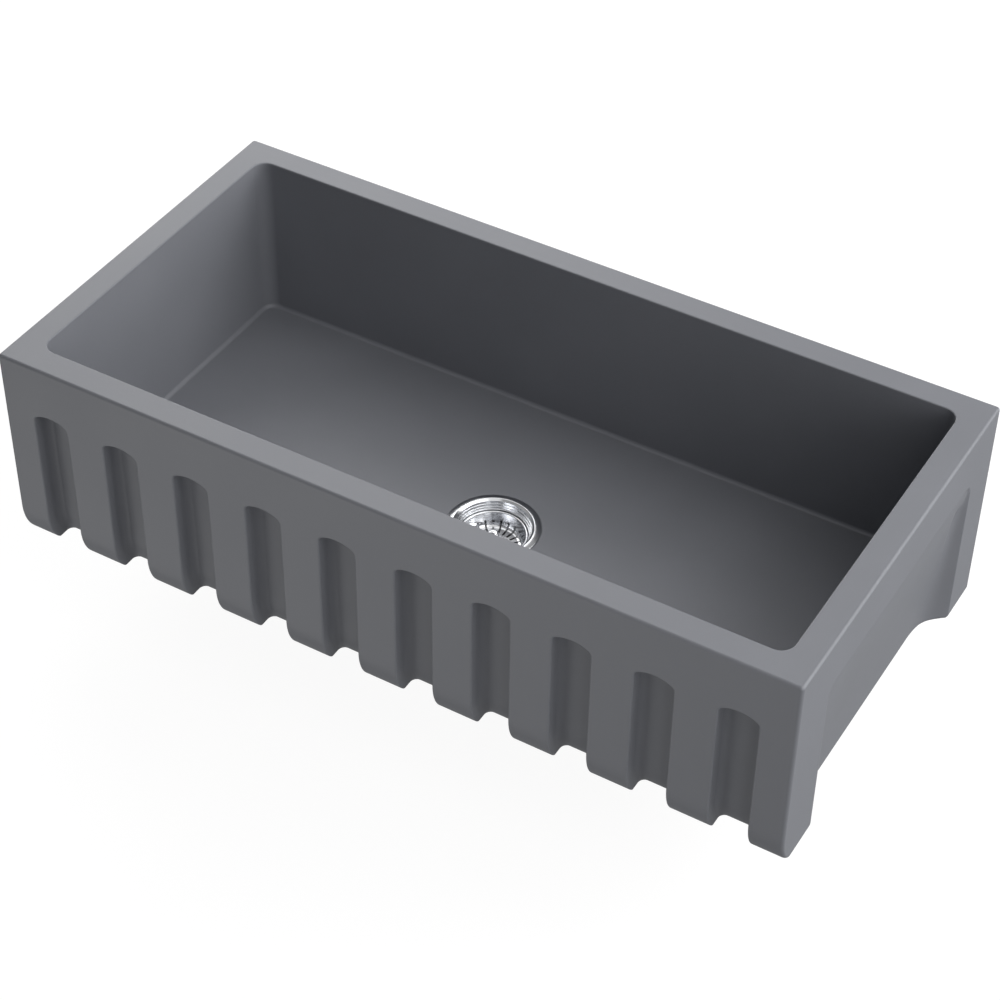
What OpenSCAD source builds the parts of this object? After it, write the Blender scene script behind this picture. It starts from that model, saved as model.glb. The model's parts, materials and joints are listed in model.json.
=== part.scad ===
// Farmhouse apron front sink with a fluted front, and its basket strainer.
// Origin: centre of the plane that the sink's feet stand on. +Z is up and the
// fluted apron faces -Y. All sizes are in millimetres.

/* [Sink body] */
// Overall width, side to side
sink_w = 914.4; // [800:0.1:1000]
// Overall depth, apron to back
sink_d = 460; // [440:1:520]
// Width of the flat rim round the bowl
rim_w = 31; // [28:0.5:40]
// Depth of the bowl, rim to floor
bowl_depth = 203; // [160:1:210]
// Thickness of the clay under the bowl
floor_t = 26; // [20:1:32]
// Height of the hollow under the bowl, inside the foot
hollow_h = 25; // [22:1:60]
// Plan radius of the bowl's upright corners
bowl_corner_r = 20; // [12:1:30]
// Radius where the bowl's walls meet its floor
bowl_floor_r = 10; // [4:1:12]
// Radius of the rim's outer edges
rim_edge_r = 3.5; // [1:0.5:6]
// Radius of the rim's inner edges
rim_inner_r = 2.5; // [1:0.5:4]
// Plan radius of the body's upright corners
body_corner_r = 6; // [3:0.5:10]
// Radius of the apron's lower edge
apron_bottom_r = 25; // [10:1:30]
// Radius of the lower edge at the back
back_bottom_r = 6; // [2:1:12]

/* [Flutes] */
// Number of upright flutes in the apron
flute_n = 10; // [6:1:10]
// Width of one flute
flute_w = 42; // [36:1:46]
// Width of the plain rib at each end of the apron
end_rib_w = 38.2; // [34:0.2:50]
// How deep the flutes are cut
flute_depth = 20; // [8:1:20]
// Drop from the rim to the crown of a flute
flute_drop = 61.5; // [45:0.5:90]
// Radius of the arch that closes a flute at the top
flute_arch_r = 37; // [30:1:60]

/* [Side recesses] */
// Depth of the front leg on each side
front_leg = 68; // [55:1:90]
// Depth of the back leg on each side
back_leg = 56; // [45:1:90]
// Drop from the rim to the top of a side recess
recess_drop = 62; // [45:1:90]
// Plan radius that sweeps a recess out to its legs
recess_sweep_r = 52; // [44:1:60]
// How far a recess wall leans in by the time it reaches the feet
recess_lean = 24; // [8:0.5:26]
// Radius of a recess's upper corners
recess_corner_r = 27; // [15:1:40]

/* [Underside] */
// Width of the foot that runs round under the sides and the back
foot_w = 35; // [28:1:40]
// Width of the flat foot behind the apron
front_foot_w = 25; // [18:1:35]
// Plan radius of the hollow inside the foot
hollow_corner_r = 25; // [10:1:40]

/* [Drain opening] */
// Gap between the drain hole and the strainer's shank
hole_play = 1.3; // [0.5:0.1:2.5]
// Gap between the flange's edge and the wall of its seat
seat_play = 0.8; // [0.3:0.1:3]
// Depth of the flange's seat below the bowl floor
rebate_depth = 1; // [0.6:0.1:1.6]

/* [Strainer body] */
// Inner radius of the cup that the basket hangs in
cup_r = 38.4; // [37:0.1:42]
// Thickness of the cup's wall, out to the crests of the locknut's thread
cup_wall = 2.6; // [2:0.1:4]
// How far the shank above the thread stands out past those crests
shank_step = 2.2; // [1:0.1:3]
// Width of the flange, from the shank to its edge
flange_w = 8.3; // [6:0.1:12]
// Distance from the shank to the flange's crest, where the funnel begins
crest_w = 2.2; // [1:0.1:3]
// Height of the crest above the flange's underside
crest_h = 2.2; // [1.6:0.1:3]
// Height of the flange's outer rim
flange_edge_h = 0.7; // [0.5:0.1:1]
// Number of flats that make up the flange's dome
dome_steps = 6; // [3:1:12]
// Number of fine steps in the funnel
funnel_n = 3; // [2:1:4]
// How far the wall of each step slopes in
funnel_taper = 0.4; // [0.1:0.1:0.6]
// Least thickness of metal round the funnel
funnel_wall = 1.2; // [0.8:0.1:1.4]
// Depth of the cup's ledge below the bowl floor
ledge_depth = 9; // [8:0.5:10]
// Drop from the ledge to the shoulder above the thread
shoulder_drop = 3; // [2:0.25:5]
// Bevel at the foot of the body's thread
foot_bevel = 1.2; // [0.6:0.1:1.8]
// Height of the cup's straight wall, below the ledge
cup_wall_h = 15; // [12:0.5:20]
// Radius between the cup's wall and its seat
cup_bend_r = 8; // [6:0.5:9]
// Height of the sloping seat, from bend to outlet
seat_h = 5.5; // [4.5:0.25:6]
// Thickness of metal under the seat
seat_t = 3.2; // [2.5:0.1:4]
// Length of the outlet below the seat
outlet_len = 23.3; // [20:0.1:30]
// Thickness of the outlet's wall, out to the crests of its thread
outlet_wall = 2.6; // [2:0.1:3]
// Distance between the crests of the threads
thread_pitch = 2; // [1.5:0.25:2.5]
// Height of a thread's crest above its root
thread_h = 0.7; // [0.4:0.1:0.9]

/* [Cross in the outlet] */
// Thickness of the ring and arms
cross_t = 3; // [2:0.25:4]
// Width of one arm
cross_arm_w = 3; // [2:0.25:4]
// Width of the ring that seats in the outlet
cross_ring_w = 2.2; // [1.6:0.1:3]
// Wall of the central socket
socket_wall = 2.2; // [1.5:0.1:4]
// Height of the central socket
socket_h = 11; // [9:0.5:13]
// Gap between the post's nut and the socket's top when closed
socket_drop = 3.3; // [2:0.1:5]
// How far the socket reaches below the arms
socket_foot = 2; // [1:0.25:3]
// Width of the step that the cross rests on
cross_step = 1.4; // [1:0.1:1.6]

/* [Clamping rings] */
// Thickness of the sealing ring under the flange
gasket_t = 0.8; // [0.5:0.1:1]
// How far the sealing ring stays back from the drain hole
gasket_setback = 0.5; // [0.2:0.1:2]
// How far the sealing ring stops short of the flange's edge
gasket_inset = 0.7; // [0.2:0.1:1]
// Width of the rubber washer under the clay
washer_w = 10.85; // [7:0.05:15]
// Thickness of the rubber washer
washer_t = 3; // [2:0.25:4]
// Thickness of the fibre ring on the locknut
friction_t = 1.2; // [0.8:0.1:2]
// Width of the fibre ring
friction_w = 9.35; // [7:0.05:13]
// Wall of the locknut, without its lugs
locknut_wall = 8.35; // [5:0.05:11]
// Height of the locknut
locknut_h = 9.5; // [7:0.5:9.5]
// Number of lugs on the locknut
lug_n = 6; // [4:1:8]
// How far a lug stands out
lug_out = 5.5; // [3:0.5:8]
// Width of a lug
lug_w = 11; // [7:0.5:14]

/* [Tailpiece] */
// Outer radius of the tailpiece tube
tail_r = 19.05; // [18.5:0.05:19.4]
// Wall of the tailpiece tube
tail_wall = 0.9; // [0.7:0.1:1.5]
// Length of the tailpiece below its flange
tail_len = 99; // [60:1:160]
// Width of the tailpiece's flange, past the tube
tail_flange_w = 4.35; // [3.5:0.05:6]
// How far that flange stays inside the crests of the outlet's thread
tail_flange_inset = 0.7; // [0.3:0.1:1.5]
// How much wider the tube is just under its flange, where it was flared
tail_swell = 0.15; // [0.05:0.05:0.15]
// Length of that swell below the coupling nut
tail_swell_h = 1; // [0.5:0.25:2]
// Thickness of the tailpiece's flange
tail_flange_t = 2.5; // [1.5:0.1:3]
// Thickness of the washer above that flange
tail_washer_t = 2; // [1.5:0.1:3]
// Wall of the coupling nut, without its ribs
coupling_wall = 3.45; // [2.5:0.05:6]
// Height of the coupling nut
coupling_h = 21; // [17:0.5:22]
// Thickness of the lip that holds the flange up
coupling_lip_t = 3; // [2:0.1:4]
// Number of ribs on the coupling nut
coupling_rib_n = 8; // [6:1:12]
// How far a rib stands out of the coupling nut
coupling_rib_h = 1.8; // [1:0.1:2.4]
// Width of a rib on the coupling nut
coupling_rib_w = 5; // [3:0.5:7]

/* [Basket] */
// Gap between the basket's rolled rim and the cup's wall
basket_play = 0.8; // [0.5:0.1:1.5]
// Radius of the bead that rolls the rim over
bead_r = 1.3; // [1:0.1:1.5]
// Drop from the cup's ledge to the top of the rim
rim_drop = 0.5; // [0:0.25:2]
// How far the basket's wall tapers in, from rim to bottom
basket_taper = 4.6; // [3:0.1:6]
// Radius between the basket's wall and its bottom
basket_bend_r = 6; // [4:0.5:7]
// Height of the basket's bottom above the top of the cup's seat
basket_rise = 4; // [3.5:0.25:5]
// Thickness of the basket's sheet
sheet_t = 0.9; // [0.7:0.1:1]
// Number of slots in the basket
slot_n = 24; // [16:1:28]
// Width of one slot
slot_w = 2.2; // [1.4:0.1:2.8]
// How far the slots run in from the bend towards the middle
slot_reach = 5.5; // [3:0.5:8]
// Height above the bottom at which the slots end on the wall
slot_rise = 8; // [6:0.5:12]

/* [Basket post] */
// Radius of the post
post_r = 3; // [2.6:0.1:3.1]
// Height of the post's tip above the socket's foot
post_tip_rise = 1; // [0.5:0.25:2]
// Depth of the knob's crown below the bowl floor
knob_drop = 8; // [6:0.5:10]
// Radius of the knob
knob_r = 6.5; // [5.5:0.25:9]
// Height of the knob
knob_h = 9; // [7:0.5:10]
// Wall of the knob's neck round the post
knob_neck_wall = 1.2; // [0.8:0.1:2]
// Height of the knob's neck
knob_neck_h = 2.5; // [1:0.25:3]
// Height at which the knob is widest
knob_belly_h = 5.5; // [4:0.25:5.75]
// Radius of the knob's upper edge
knob_edge_r = 2.2; // [1:0.1:3]
// Depth of the threaded hole in the knob
knob_bore_depth = 4.5; // [3:0.25:5.5]
// Height of the collar at the post's tip
collar_h = 1; // [0.6:0.1:1.5]
// How far the post's shoulder above the domed washer stands out
shoulder_w = 1.8; // [1:0.1:3]
// Height of the post's shoulder
shoulder_h = 2; // [1:0.25:4]
// Radius of the domed washer above the basket's bottom
dome_r = 9; // [7:0.5:12]
// Thickness of the domed washer at its middle
dome_t = 1.6; // [1:0.1:2]
// Thickness of the domed washer at its edge
dome_edge_t = 0.5; // [0.3:0.1:0.9]
// How far the plate that backs the stopper stays inside the outlet's radius
plate_inset = 1.5; // [1:0.25:5]
// Thickness of the plate that backs the stopper
plate_t = 0.8; // [0.6:0.1:1]
// Thickness of the rubber stopper
stopper_t = 4; // [3.5:0.1:4.4]
// Drop from the cup's bend to the stopper's widest line
stopper_lip_drop = 0.2; // [0.1:0.1:0.4]
// Thickness of the stopper's edge
stopper_lip_t = 0.8; // [0.5:0.1:1]
// How far the stopper's top reaches past its plate
stopper_brim = 1; // [0.2:0.1:1.2]
// Width across the flats of the post's nut
post_nut_w = 9; // [8:0.5:11]
// Height of the post's nut
post_nut_h = 3; // [2.5:0.25:3.5]
// Height of the spring clip on the post
clip_h = 7; // [5:0.5:7.5]
// Thickness of the spring clip
clip_t = 0.6; // [0.4:0.05:0.7]
// Gap in the spring clip
clip_gap = 1.6; // [1:0.1:2.4]

/* [Clearances] */
// Gap between the rubber stopper and the seat when closed
stopper_gap = 0.3; // [0.2:0.05:0.4]
// Gap between the spring clip and the socket it grips
clip_play = 0.35; // [0.2:0.05:0.6]
// Gap between a thread and its nut
thread_gap = 0.15; // [0.05:0.05:0.3]
// Running gap between the post and its clip
clip_run = 0.05; // [0.02:0.01:0.08]
// Gap between the post and the pieces threaded on it
hole_gap = 0.1; // [0.05:0.05:0.2]
// Gap between the cross and the outlet's wall
cross_gap = 0.1; // [0.05:0.05:0.2]
// Gap between the tailpiece and the coupling nut's lip
lip_gap = 0.4; // [0.2:0.1:0.8]

/* [Hidden] */
$fn = 96;
eps = 1;
sink_h = bowl_depth + floor_t + hollow_h;
half_w = sink_w / 2;
half_d = sink_d / 2;
front = -half_d;
bowl_hw = half_w - rim_w;
bowl_hd = half_d - rim_w;
floor_z = floor_t + hollow_h;
under_z = hollow_h;
flute_pitch = (sink_w - 2 * end_rib_w - flute_w) / (flute_n - 1);
flute_top = sink_h - flute_drop;
recess_top = sink_h - recess_drop;
recess_y0 = front + front_leg;
recess_y1 = half_d - back_leg;
recess_foot_x = half_w - recess_lean;
// Along the side, the sweep needs this much room to lean in fully
sweep_run = sqrt(recess_sweep_r ^ 2 - (recess_sweep_r - recess_lean) ^ 2);
hollow_x = recess_foot_x - foot_w;
hollow_y0 = front + flute_depth + apron_bottom_r + front_foot_w;
hollow_y1 = half_d - foot_w;

body_thread_r = cup_r + cup_wall;
shank_r = body_thread_r + shank_step;
crest_r = shank_r + crest_w;
flange_r = shank_r + flange_w;
hole_r = shank_r + hole_play;
rebate_r = flange_r + seat_play;
seat_z = floor_z - rebate_depth;
flange_z = seat_z + gasket_t;
funnel_r = shank_r - funnel_wall;
ledge_z = floor_z - ledge_depth;
funnel_step = (funnel_r - cup_r) / funnel_n;
funnel_fall = (flange_z - ledge_z) / funnel_n;
shoulder_z = ledge_z - shoulder_drop;
tail_flange_r = tail_r + tail_flange_w;
outlet_thread_r = tail_flange_r + tail_flange_inset;
throat_r = outlet_thread_r - outlet_wall;
step_r = throat_r - cross_step;
thread_root_r = body_thread_r - thread_h;
cup_turn_z = ledge_z - cup_wall_h;
bend_z = cup_turn_z - cup_bend_r;
bend_in_r = cup_r - cup_bend_r;
throat_z = bend_z - seat_h;
seat_slope = atan2(seat_h, bend_in_r - throat_r);
body_foot_z = throat_z - seat_t;
outlet_z = body_foot_z - outlet_len;
outlet_root_r = outlet_thread_r - thread_h;
washer_z = under_z - washer_t;
friction_z = washer_z - friction_t;
locknut_z = friction_z - locknut_h;
nut_bore_r = body_thread_r + thread_gap;
locknut_r = nut_bore_r + locknut_wall;
lug_root_r = (nut_bore_r + locknut_r) / 2;
tail_washer_z = outlet_z - tail_washer_t;
tail_flange_z = tail_washer_z - tail_flange_t;
tail_z = tail_flange_z - tail_len;
coupling_z = tail_flange_z - coupling_lip_t;
coupling_bore_r = outlet_thread_r + thread_gap;
coupling_r = coupling_bore_r + coupling_wall;
coupling_root_r = (coupling_bore_r + coupling_r) / 2;
coupling_rib_tip = coupling_r + coupling_rib_h;

basket_r = cup_r - basket_play;
rim_top_z = ledge_z - rim_drop;
rim_mid_r = basket_r - bead_r;
basket_z = bend_z + basket_rise;
bottom_flat_r = basket_r - basket_taper - basket_bend_r;
bend_top_z = basket_z + basket_bend_r;
dome_top_z = basket_z + dome_t;
slot_in_r = bottom_flat_r - slot_reach;
slot_top_z = basket_z + slot_rise;
plate_r = throat_r - plate_inset;
plate_z = basket_z - sheet_t - plate_t;
stopper_z = plate_z - stopper_t;
post_nut_z = stopper_z - post_nut_h;
knob_top_z = floor_z - knob_drop;
knob_z = knob_top_z - knob_h;
bore_top_z = knob_z + knob_bore_depth;
socket_top_z = post_nut_z - socket_drop;
socket_z = socket_top_z - socket_h;
cross_z = socket_z + socket_foot;
post_tip_z = socket_z + post_tip_rise;
clip_z = post_tip_z + collar_h;
shoulder_r = post_r + shoulder_w;
post_hole_r = post_r + hole_gap;
knob_neck_r = post_r + knob_neck_wall;
lip_z = bend_z - stopper_lip_drop;
clip_in_r = post_r + clip_run;
clip_r = clip_in_r + clip_t;
socket_bore_r = clip_r + clip_play;
socket_r = socket_bore_r + socket_wall;

clay = [0.43, 0.43, 0.45];
steel = [0.78, 0.79, 0.80];
bright = [0.86, 0.87, 0.88];
yellow_metal = [0.78, 0.62, 0.32];
black_rubber = [0.10, 0.10, 0.11];
fibre = [0.55, 0.42, 0.28];

// Points along an arc from angle a0 to a1
function arc(cx, cy, r, a0, a1, n) =
    [for (i = [0 : n]) [cx + r * cos(a0 + (a1 - a0) * i / n), cy + r * sin(a0 + (a1 - a0) * i / n)]];

// Saw-tooth outline of a thread, climbing from z0 to z1, without its last root
function thread_up(r_root, r_crest, z0, z1) =
    let (n = floor((z1 - z0) / thread_pitch), p = (z1 - z0) / n)
    [for (i = [0 : n - 1], k = [0 : 1])
        k == 0 ? [r_root, z0 + p * i] : [r_crest, z0 + p * (i + 0.5)]];

// Radius of the stopper's bevel at a height, a gap away from the seat
function stopper_edge(z) =
    throat_r + (z - throat_z) * (bend_in_r - throat_r) / seat_h - stopper_gap / sin(seat_slope);

// What is cut away to round a corner whose point is at the origin
module spandrel(r) {
    difference() {
        translate([-eps, -eps])
            square(r + eps);
        translate([r, r])
            circle(r);
    }
}

// Square outline with its four corners rounded alike
module rounded(x0, y0, x1, y1, r) {
    difference() {
        translate([x0, y0])
            square([x1 - x0, y1 - y0]);
        translate([x0, y0])
            spandrel(r);
        translate([x1, y0])
            rotate(90)
                spandrel(r);
        translate([x1, y1])
            rotate(180)
                spandrel(r);
        translate([x0, y1])
            rotate(270)
                spandrel(r);
    }
}

// Extrudes an outline drawn in Y and Z along X
module along_x(x0, x1) {
    translate([x0, 0, 0])
        rotate([90, 0, 90])
            linear_extrude(height = x1 - x0)
                children();
}

// Extrudes an outline drawn in X and Z along Y, from y0 to y1
module along_y(y0, y1) {
    translate([0, y1, 0])
        rotate([90, 0, 0])
            linear_extrude(height = y1 - y0)
                children();
}

// The clay body before anything is taken out of it
module block() {
    difference() {
        linear_extrude(height = sink_h)
            rounded(-half_w, front, half_w, half_d, body_corner_r);
        along_x(-half_w - eps, half_w + eps) {
            translate([front, sink_h])
                rotate(270)
                    spandrel(rim_edge_r);
            translate([half_d, sink_h])
                rotate(180)
                    spandrel(rim_edge_r);
            translate([front, 0])
                spandrel(apron_bottom_r);
            translate([half_d, 0])
                rotate(90)
                    spandrel(back_bottom_r);
        }
        along_y(front - eps, half_d + eps)
            for (side = [0, 1])
                mirror([side, 0])
                    translate([-half_w, sink_h])
                        rotate(270)
                            spandrel(rim_edge_r);
    }
}

// The bowl: walls, rounded corners and a floor that curves up into them
module bowl() {
    post_x = bowl_hw - bowl_corner_r;
    post_y = bowl_hd - bowl_corner_r;
    top = sink_h + eps;
    along_x(-post_x, post_x)
        bowl_section(bowl_hd, top);
    rotate(90)
        along_x(-post_y, post_y)
            bowl_section(bowl_hw, top);
    for (x = [-post_x, post_x], y = [-post_y, post_y])
        translate([x, y, 0])
            rotate_extrude()
                intersection() {
                    bowl_section(bowl_corner_r, top);
                    translate([0, floor_z - eps])
                        square([bowl_corner_r + 2 * rim_inner_r, top - floor_z + 2 * eps]);
                }
}

// Upright section of the bowl, rounded at the floor and eased at the rim
module bowl_section(half, top) {
    difference() {
        translate([-half, floor_z])
            square([2 * half, top - floor_z]);
        translate([-half, floor_z])
            spandrel(bowl_floor_r);
        translate([half, floor_z])
            rotate(90)
                spandrel(bowl_floor_r);
    }
    translate([-half, sink_h])
        rotate(180)
            spandrel(rim_inner_r);
    translate([half, sink_h])
        rotate(270)
            spandrel(rim_inner_r);
}

// Outline of one flute: straight sides under a shallow arch
module flute_outline() {
    intersection() {
        translate([-flute_w / 2, -eps])
            square([flute_w, flute_top + eps]);
        union() {
            translate([0, flute_top - flute_arch_r])
                circle(flute_arch_r);
            translate([-flute_w, -2 * eps])
                square([2 * flute_w, flute_top - flute_arch_r + 2 * eps]);
        }
    }
}

// All the flutes, with a back face that curves under as the apron does
module flutes() {
    intersection() {
        along_y(front - 2 * eps, front + flute_depth + apron_bottom_r + eps)
            for (i = [0 : flute_n - 1])
                translate([(i - (flute_n - 1) / 2) * flute_pitch, 0])
                    flute_outline();
        along_x(-half_w, half_w)
            difference() {
                translate([front - eps, -eps / 2])
                    square([flute_depth + apron_bottom_r + eps, sink_h]);
                translate([front + flute_depth, apron_bottom_r])
                    square([apron_bottom_r + eps, sink_h]);
                translate([front + flute_depth + apron_bottom_r, apron_bottom_r])
                    circle(apron_bottom_r);
            }
    }
}

// The hollow between the two legs of the right-hand side
module side_recess() {
    intersection() {
        along_y(recess_y0, recess_y1)
            polygon([
                [half_w, recess_top],
                [recess_foot_x - recess_lean * eps / recess_top, -eps],
                [half_w + 2 * eps, -eps],
                [half_w + 2 * eps, recess_top]
            ]);
        along_x(recess_foot_x - 2 * eps, half_w + eps)
            rounded(recess_y0, -2 * recess_corner_r, recess_y1, recess_top, recess_corner_r);
        linear_extrude(height = sink_h)
            recess_sweep();
    }
}

// Plan of a recess at the feet: a flat wall that sweeps out to each leg
module recess_sweep() {
    reach = recess_foot_x + recess_sweep_r;
    translate([recess_foot_x - 2 * eps, recess_y0 + sweep_run])
        square([recess_lean + 4 * eps, recess_y1 - recess_y0 - 2 * sweep_run]);
    for (y = [recess_y0 + sweep_run, recess_y1 - sweep_run])
        translate([reach, y])
            circle(recess_sweep_r);
}

// The hollow under the bowl, inside the foot
module underside() {
    translate([0, 0, -eps])
        linear_extrude(height = under_z + eps)
            rounded(-hollow_x, hollow_y0, hollow_x, hollow_y1, hollow_corner_r);
}

// The one-piece clay sink: bowl, fluted apron, legs and foot
module basin() {
    color(clay)
        difference() {
            block();
            bowl();
            flutes();
            side_recess();
            mirror([1, 0, 0])
                side_recess();
            underside();
            translate([0, 0, under_z - eps])
                cylinder(h = floor_t + 2 * eps, r = hole_r);
            translate([0, 0, seat_z])
                cylinder(h = rebate_depth + eps, r = rebate_r);
        }
}

// A flat ring between two heights
module ring(r_out, r_in, z0, z1) {
    translate([0, 0, z0])
        difference() {
            cylinder(h = z1 - z0, r = r_out);
            translate([0, 0, -eps])
                cylinder(h = z1 - z0 + 2 * eps, r = r_in);
        }
}

// Sealing ring in the seat under the flange
module flange_gasket() {
    color(black_rubber)
        ring(flange_r - gasket_inset, hole_r + gasket_setback, seat_z, flange_z);
}

// Flange, stepped funnel, cup, sloping seat and threaded outlet in one turned piece
module strainer_body() {
    dome = [for (i = [0 : dome_steps])
        [flange_r - (flange_r - crest_r) * i / dome_steps,
         flange_z + flange_edge_h + (crest_h - flange_edge_h) * sin(90 * i / dome_steps)]];
    funnel = [for (i = [0 : funnel_n - 1], k = [0 : 1])
        k == 0
            ? [funnel_r - funnel_step * i, flange_z - funnel_fall * i]
            : [funnel_r - funnel_step * i - funnel_taper, flange_z - funnel_fall * (i + 1)]];
    color(bright)
        rotate_extrude()
            polygon(concat(
                [[shank_r, flange_z], [flange_r, flange_z]],
                dome,
                funnel,
                [[cup_r, ledge_z]],
                arc(bend_in_r, cup_turn_z, cup_bend_r, 0, -90, 8),
                [[throat_r, throat_z], [throat_r, cross_z]],
                [[step_r, cross_z], [step_r, outlet_z], [outlet_root_r, outlet_z]],
                thread_up(outlet_root_r, outlet_thread_r, outlet_z, body_foot_z),
                [[outlet_root_r, body_foot_z], [thread_root_r - foot_bevel, body_foot_z]],
                [[thread_root_r, body_foot_z + foot_bevel]],
                thread_up(thread_root_r, body_thread_r, body_foot_z + foot_bevel, shoulder_z),
                [[thread_root_r, shoulder_z], [shank_r, shoulder_z]]
            ));
}

// Ring, arms and socket that hold the basket's post in the outlet
module outlet_cross() {
    ring_out = throat_r - cross_gap;
    ring_in = ring_out - cross_ring_w;
    color(steel)
        difference() {
            union() {
                ring(ring_out, ring_in, cross_z, cross_z + cross_t);
                for (a = [0, 90])
                    rotate(a)
                        translate([-ring_in - cross_ring_w / 2, -cross_arm_w / 2, cross_z])
                            cube([2 * ring_in + cross_ring_w, cross_arm_w, cross_t]);
                translate([0, 0, socket_z])
                    cylinder(h = socket_h, r = socket_r);
            }
            translate([0, 0, socket_z - eps])
                cylinder(h = socket_h + 2 * eps, r = socket_bore_r);
        }
}

// Rubber washer between the clay and the fibre ring
module rubber_washer() {
    color(black_rubber)
        ring(nut_bore_r + washer_w, nut_bore_r, washer_z, under_z);
}

// Fibre ring that lets the locknut turn without dragging the rubber
module friction_ring() {
    color(fibre)
        ring(nut_bore_r + friction_w, nut_bore_r, friction_z, washer_z);
}

// Large locknut with lugs for a spanner
module locknut() {
    color(yellow_metal)
        difference() {
            union() {
                translate([0, 0, locknut_z])
                    cylinder(h = locknut_h, r = locknut_r);
                for (i = [0 : lug_n - 1])
                    rotate(360 * i / lug_n)
                        translate([lug_root_r, -lug_w / 2, locknut_z])
                            cube([locknut_r + lug_out - lug_root_r, lug_w, locknut_h]);
            }
            translate([0, 0, locknut_z - eps])
                cylinder(h = locknut_h + 2 * eps, r = nut_bore_r);
        }
}

// Washer between the outlet and the tailpiece's flange
module tailpiece_washer() {
    color(black_rubber)
        ring(tail_flange_r, step_r, tail_washer_z, outlet_z);
}

// Flanged tube that carries the water down to the trap
module tailpiece() {
    color(bright)
        rotate_extrude()
            polygon([
                [tail_r - tail_wall, tail_z],
                [tail_r, tail_z],
                [tail_r, coupling_z - tail_swell_h],
                [tail_r + tail_swell, tail_flange_z],
                [tail_flange_r, tail_flange_z],
                [tail_flange_r, tail_washer_z],
                [tail_r - tail_wall, tail_washer_z]
            ]);
}

// Nut that draws the tailpiece up against the outlet
module coupling_nut() {
    color(bright)
        difference() {
            union() {
                translate([0, 0, coupling_z])
                    cylinder(h = coupling_h, r = coupling_r);
                for (i = [0 : coupling_rib_n - 1])
                    rotate(360 * i / coupling_rib_n)
                        translate([coupling_root_r, -coupling_rib_w / 2, coupling_z])
                            cube([coupling_rib_tip - coupling_root_r, coupling_rib_w, coupling_h]);
            }
            translate([0, 0, tail_flange_z])
                cylinder(h = coupling_h, r = coupling_bore_r);
            translate([0, 0, coupling_z - eps])
                cylinder(h = coupling_h, r = tail_r + lip_gap);
        }
}

// Slotted cup with a rolled rim
module basket_cup() {
    color(bright)
        difference() {
            rotate_extrude() {
                translate([rim_mid_r, rim_top_z - bead_r])
                    circle(bead_r);
                polygon(concat(
                    [[rim_mid_r - sheet_t, rim_top_z - bead_r]],
                    arc(bottom_flat_r, bend_top_z, basket_bend_r, 0, -90, 6),
                    [[post_hole_r, basket_z], [post_hole_r, basket_z - sheet_t]],
                    arc(bottom_flat_r, bend_top_z, basket_bend_r + sheet_t, -90, 0, 6),
                    [[rim_mid_r, rim_top_z - bead_r]]
                ));
            }
            for (i = [0 : slot_n - 1])
                rotate(360 * i / slot_n)
                    translate([0, 0, basket_z - sheet_t - eps])
                        basket_slot();
        }
}

// One slot, from the basket's bottom up on to its wall
module basket_slot() {
    h = slot_top_z - basket_z + sheet_t + eps;
    translate([slot_in_r, 0, 0])
        cylinder(h = h, r = slot_w / 2);
    translate([slot_in_r, -slot_w / 2, 0])
        cube([basket_r - slot_in_r, slot_w, h]);
}

// Domed washer that spreads the post's pull over the basket's bottom
module basket_dome_washer() {
    color(bright)
        rotate_extrude()
            polygon([
                [post_hole_r, basket_z],
                [dome_r, basket_z],
                [dome_r, basket_z + dome_edge_t],
                [shoulder_r, dome_top_z],
                [post_hole_r, dome_top_z]
            ]);
}

// Post through the basket: a collar keeps the clip on, a shoulder clamps the domed washer
module basket_post() {
    color(steel)
        union() {
            translate([0, 0, post_tip_z])
                cylinder(h = bore_top_z - post_tip_z, r = post_r);
            translate([0, 0, post_tip_z])
                cylinder(h = collar_h, r = clip_r - clip_run);
            translate([0, 0, dome_top_z])
                cylinder(h = shoulder_h, r = shoulder_r);
        }
}

// Knob that lifts the basket by its post
module basket_knob() {
    color(bright)
        rotate_extrude()
            polygon(concat(
                [[clip_in_r, knob_z], [knob_neck_r, knob_z]],
                [[knob_neck_r, knob_z + knob_neck_h], [knob_r, knob_z + knob_belly_h]],
                arc(knob_r - knob_edge_r, knob_top_z - knob_edge_r, knob_edge_r, 0, 90, 4),
                [[0, knob_top_z], [0, bore_top_z], [clip_in_r, bore_top_z]]
            ));
}

// Steel plate between the basket's bottom and the rubber
module stopper_plate() {
    color(steel)
        ring(plate_r, post_hole_r, plate_z, basket_z - sheet_t);
}

// Rubber stopper, bevelled to lie on the sloping seat
module stopper_seal() {
    color(black_rubber)
        rotate_extrude()
            polygon([
                [post_hole_r, stopper_z],
                [stopper_edge(stopper_z), stopper_z],
                [stopper_edge(lip_z), lip_z],
                [stopper_edge(lip_z), lip_z + stopper_lip_t],
                [plate_r + stopper_brim, plate_z],
                [post_hole_r, plate_z]
            ]);
}

// Nut that clamps the stopper to the basket
module post_nut() {
    color(yellow_metal)
        translate([0, 0, post_nut_z])
            difference() {
                cylinder(h = post_nut_h, r = post_nut_w / 2 / cos(30), $fn = 6);
                translate([0, 0, -eps])
                    cylinder(h = post_nut_h + 2 * eps, r = post_hole_r);
            }
}

// Split spring clip that grips the socket when the basket is pushed down
module post_clip() {
    color(steel)
        difference() {
            ring(clip_r, clip_in_r, clip_z, clip_z + clip_h);
            translate([0, -clip_gap / 2, clip_z - eps])
                cube([socket_r, clip_gap, clip_h + 2 * eps]);
        }
}

basin();
flange_gasket();
strainer_body();
outlet_cross();
rubber_washer();
friction_ring();
locknut();
tailpiece_washer();
tailpiece();
coupling_nut();
basket_cup();
basket_dome_washer();
basket_post();
basket_knob();
stopper_plate();
stopper_seal();
post_nut();
post_clip();
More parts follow.
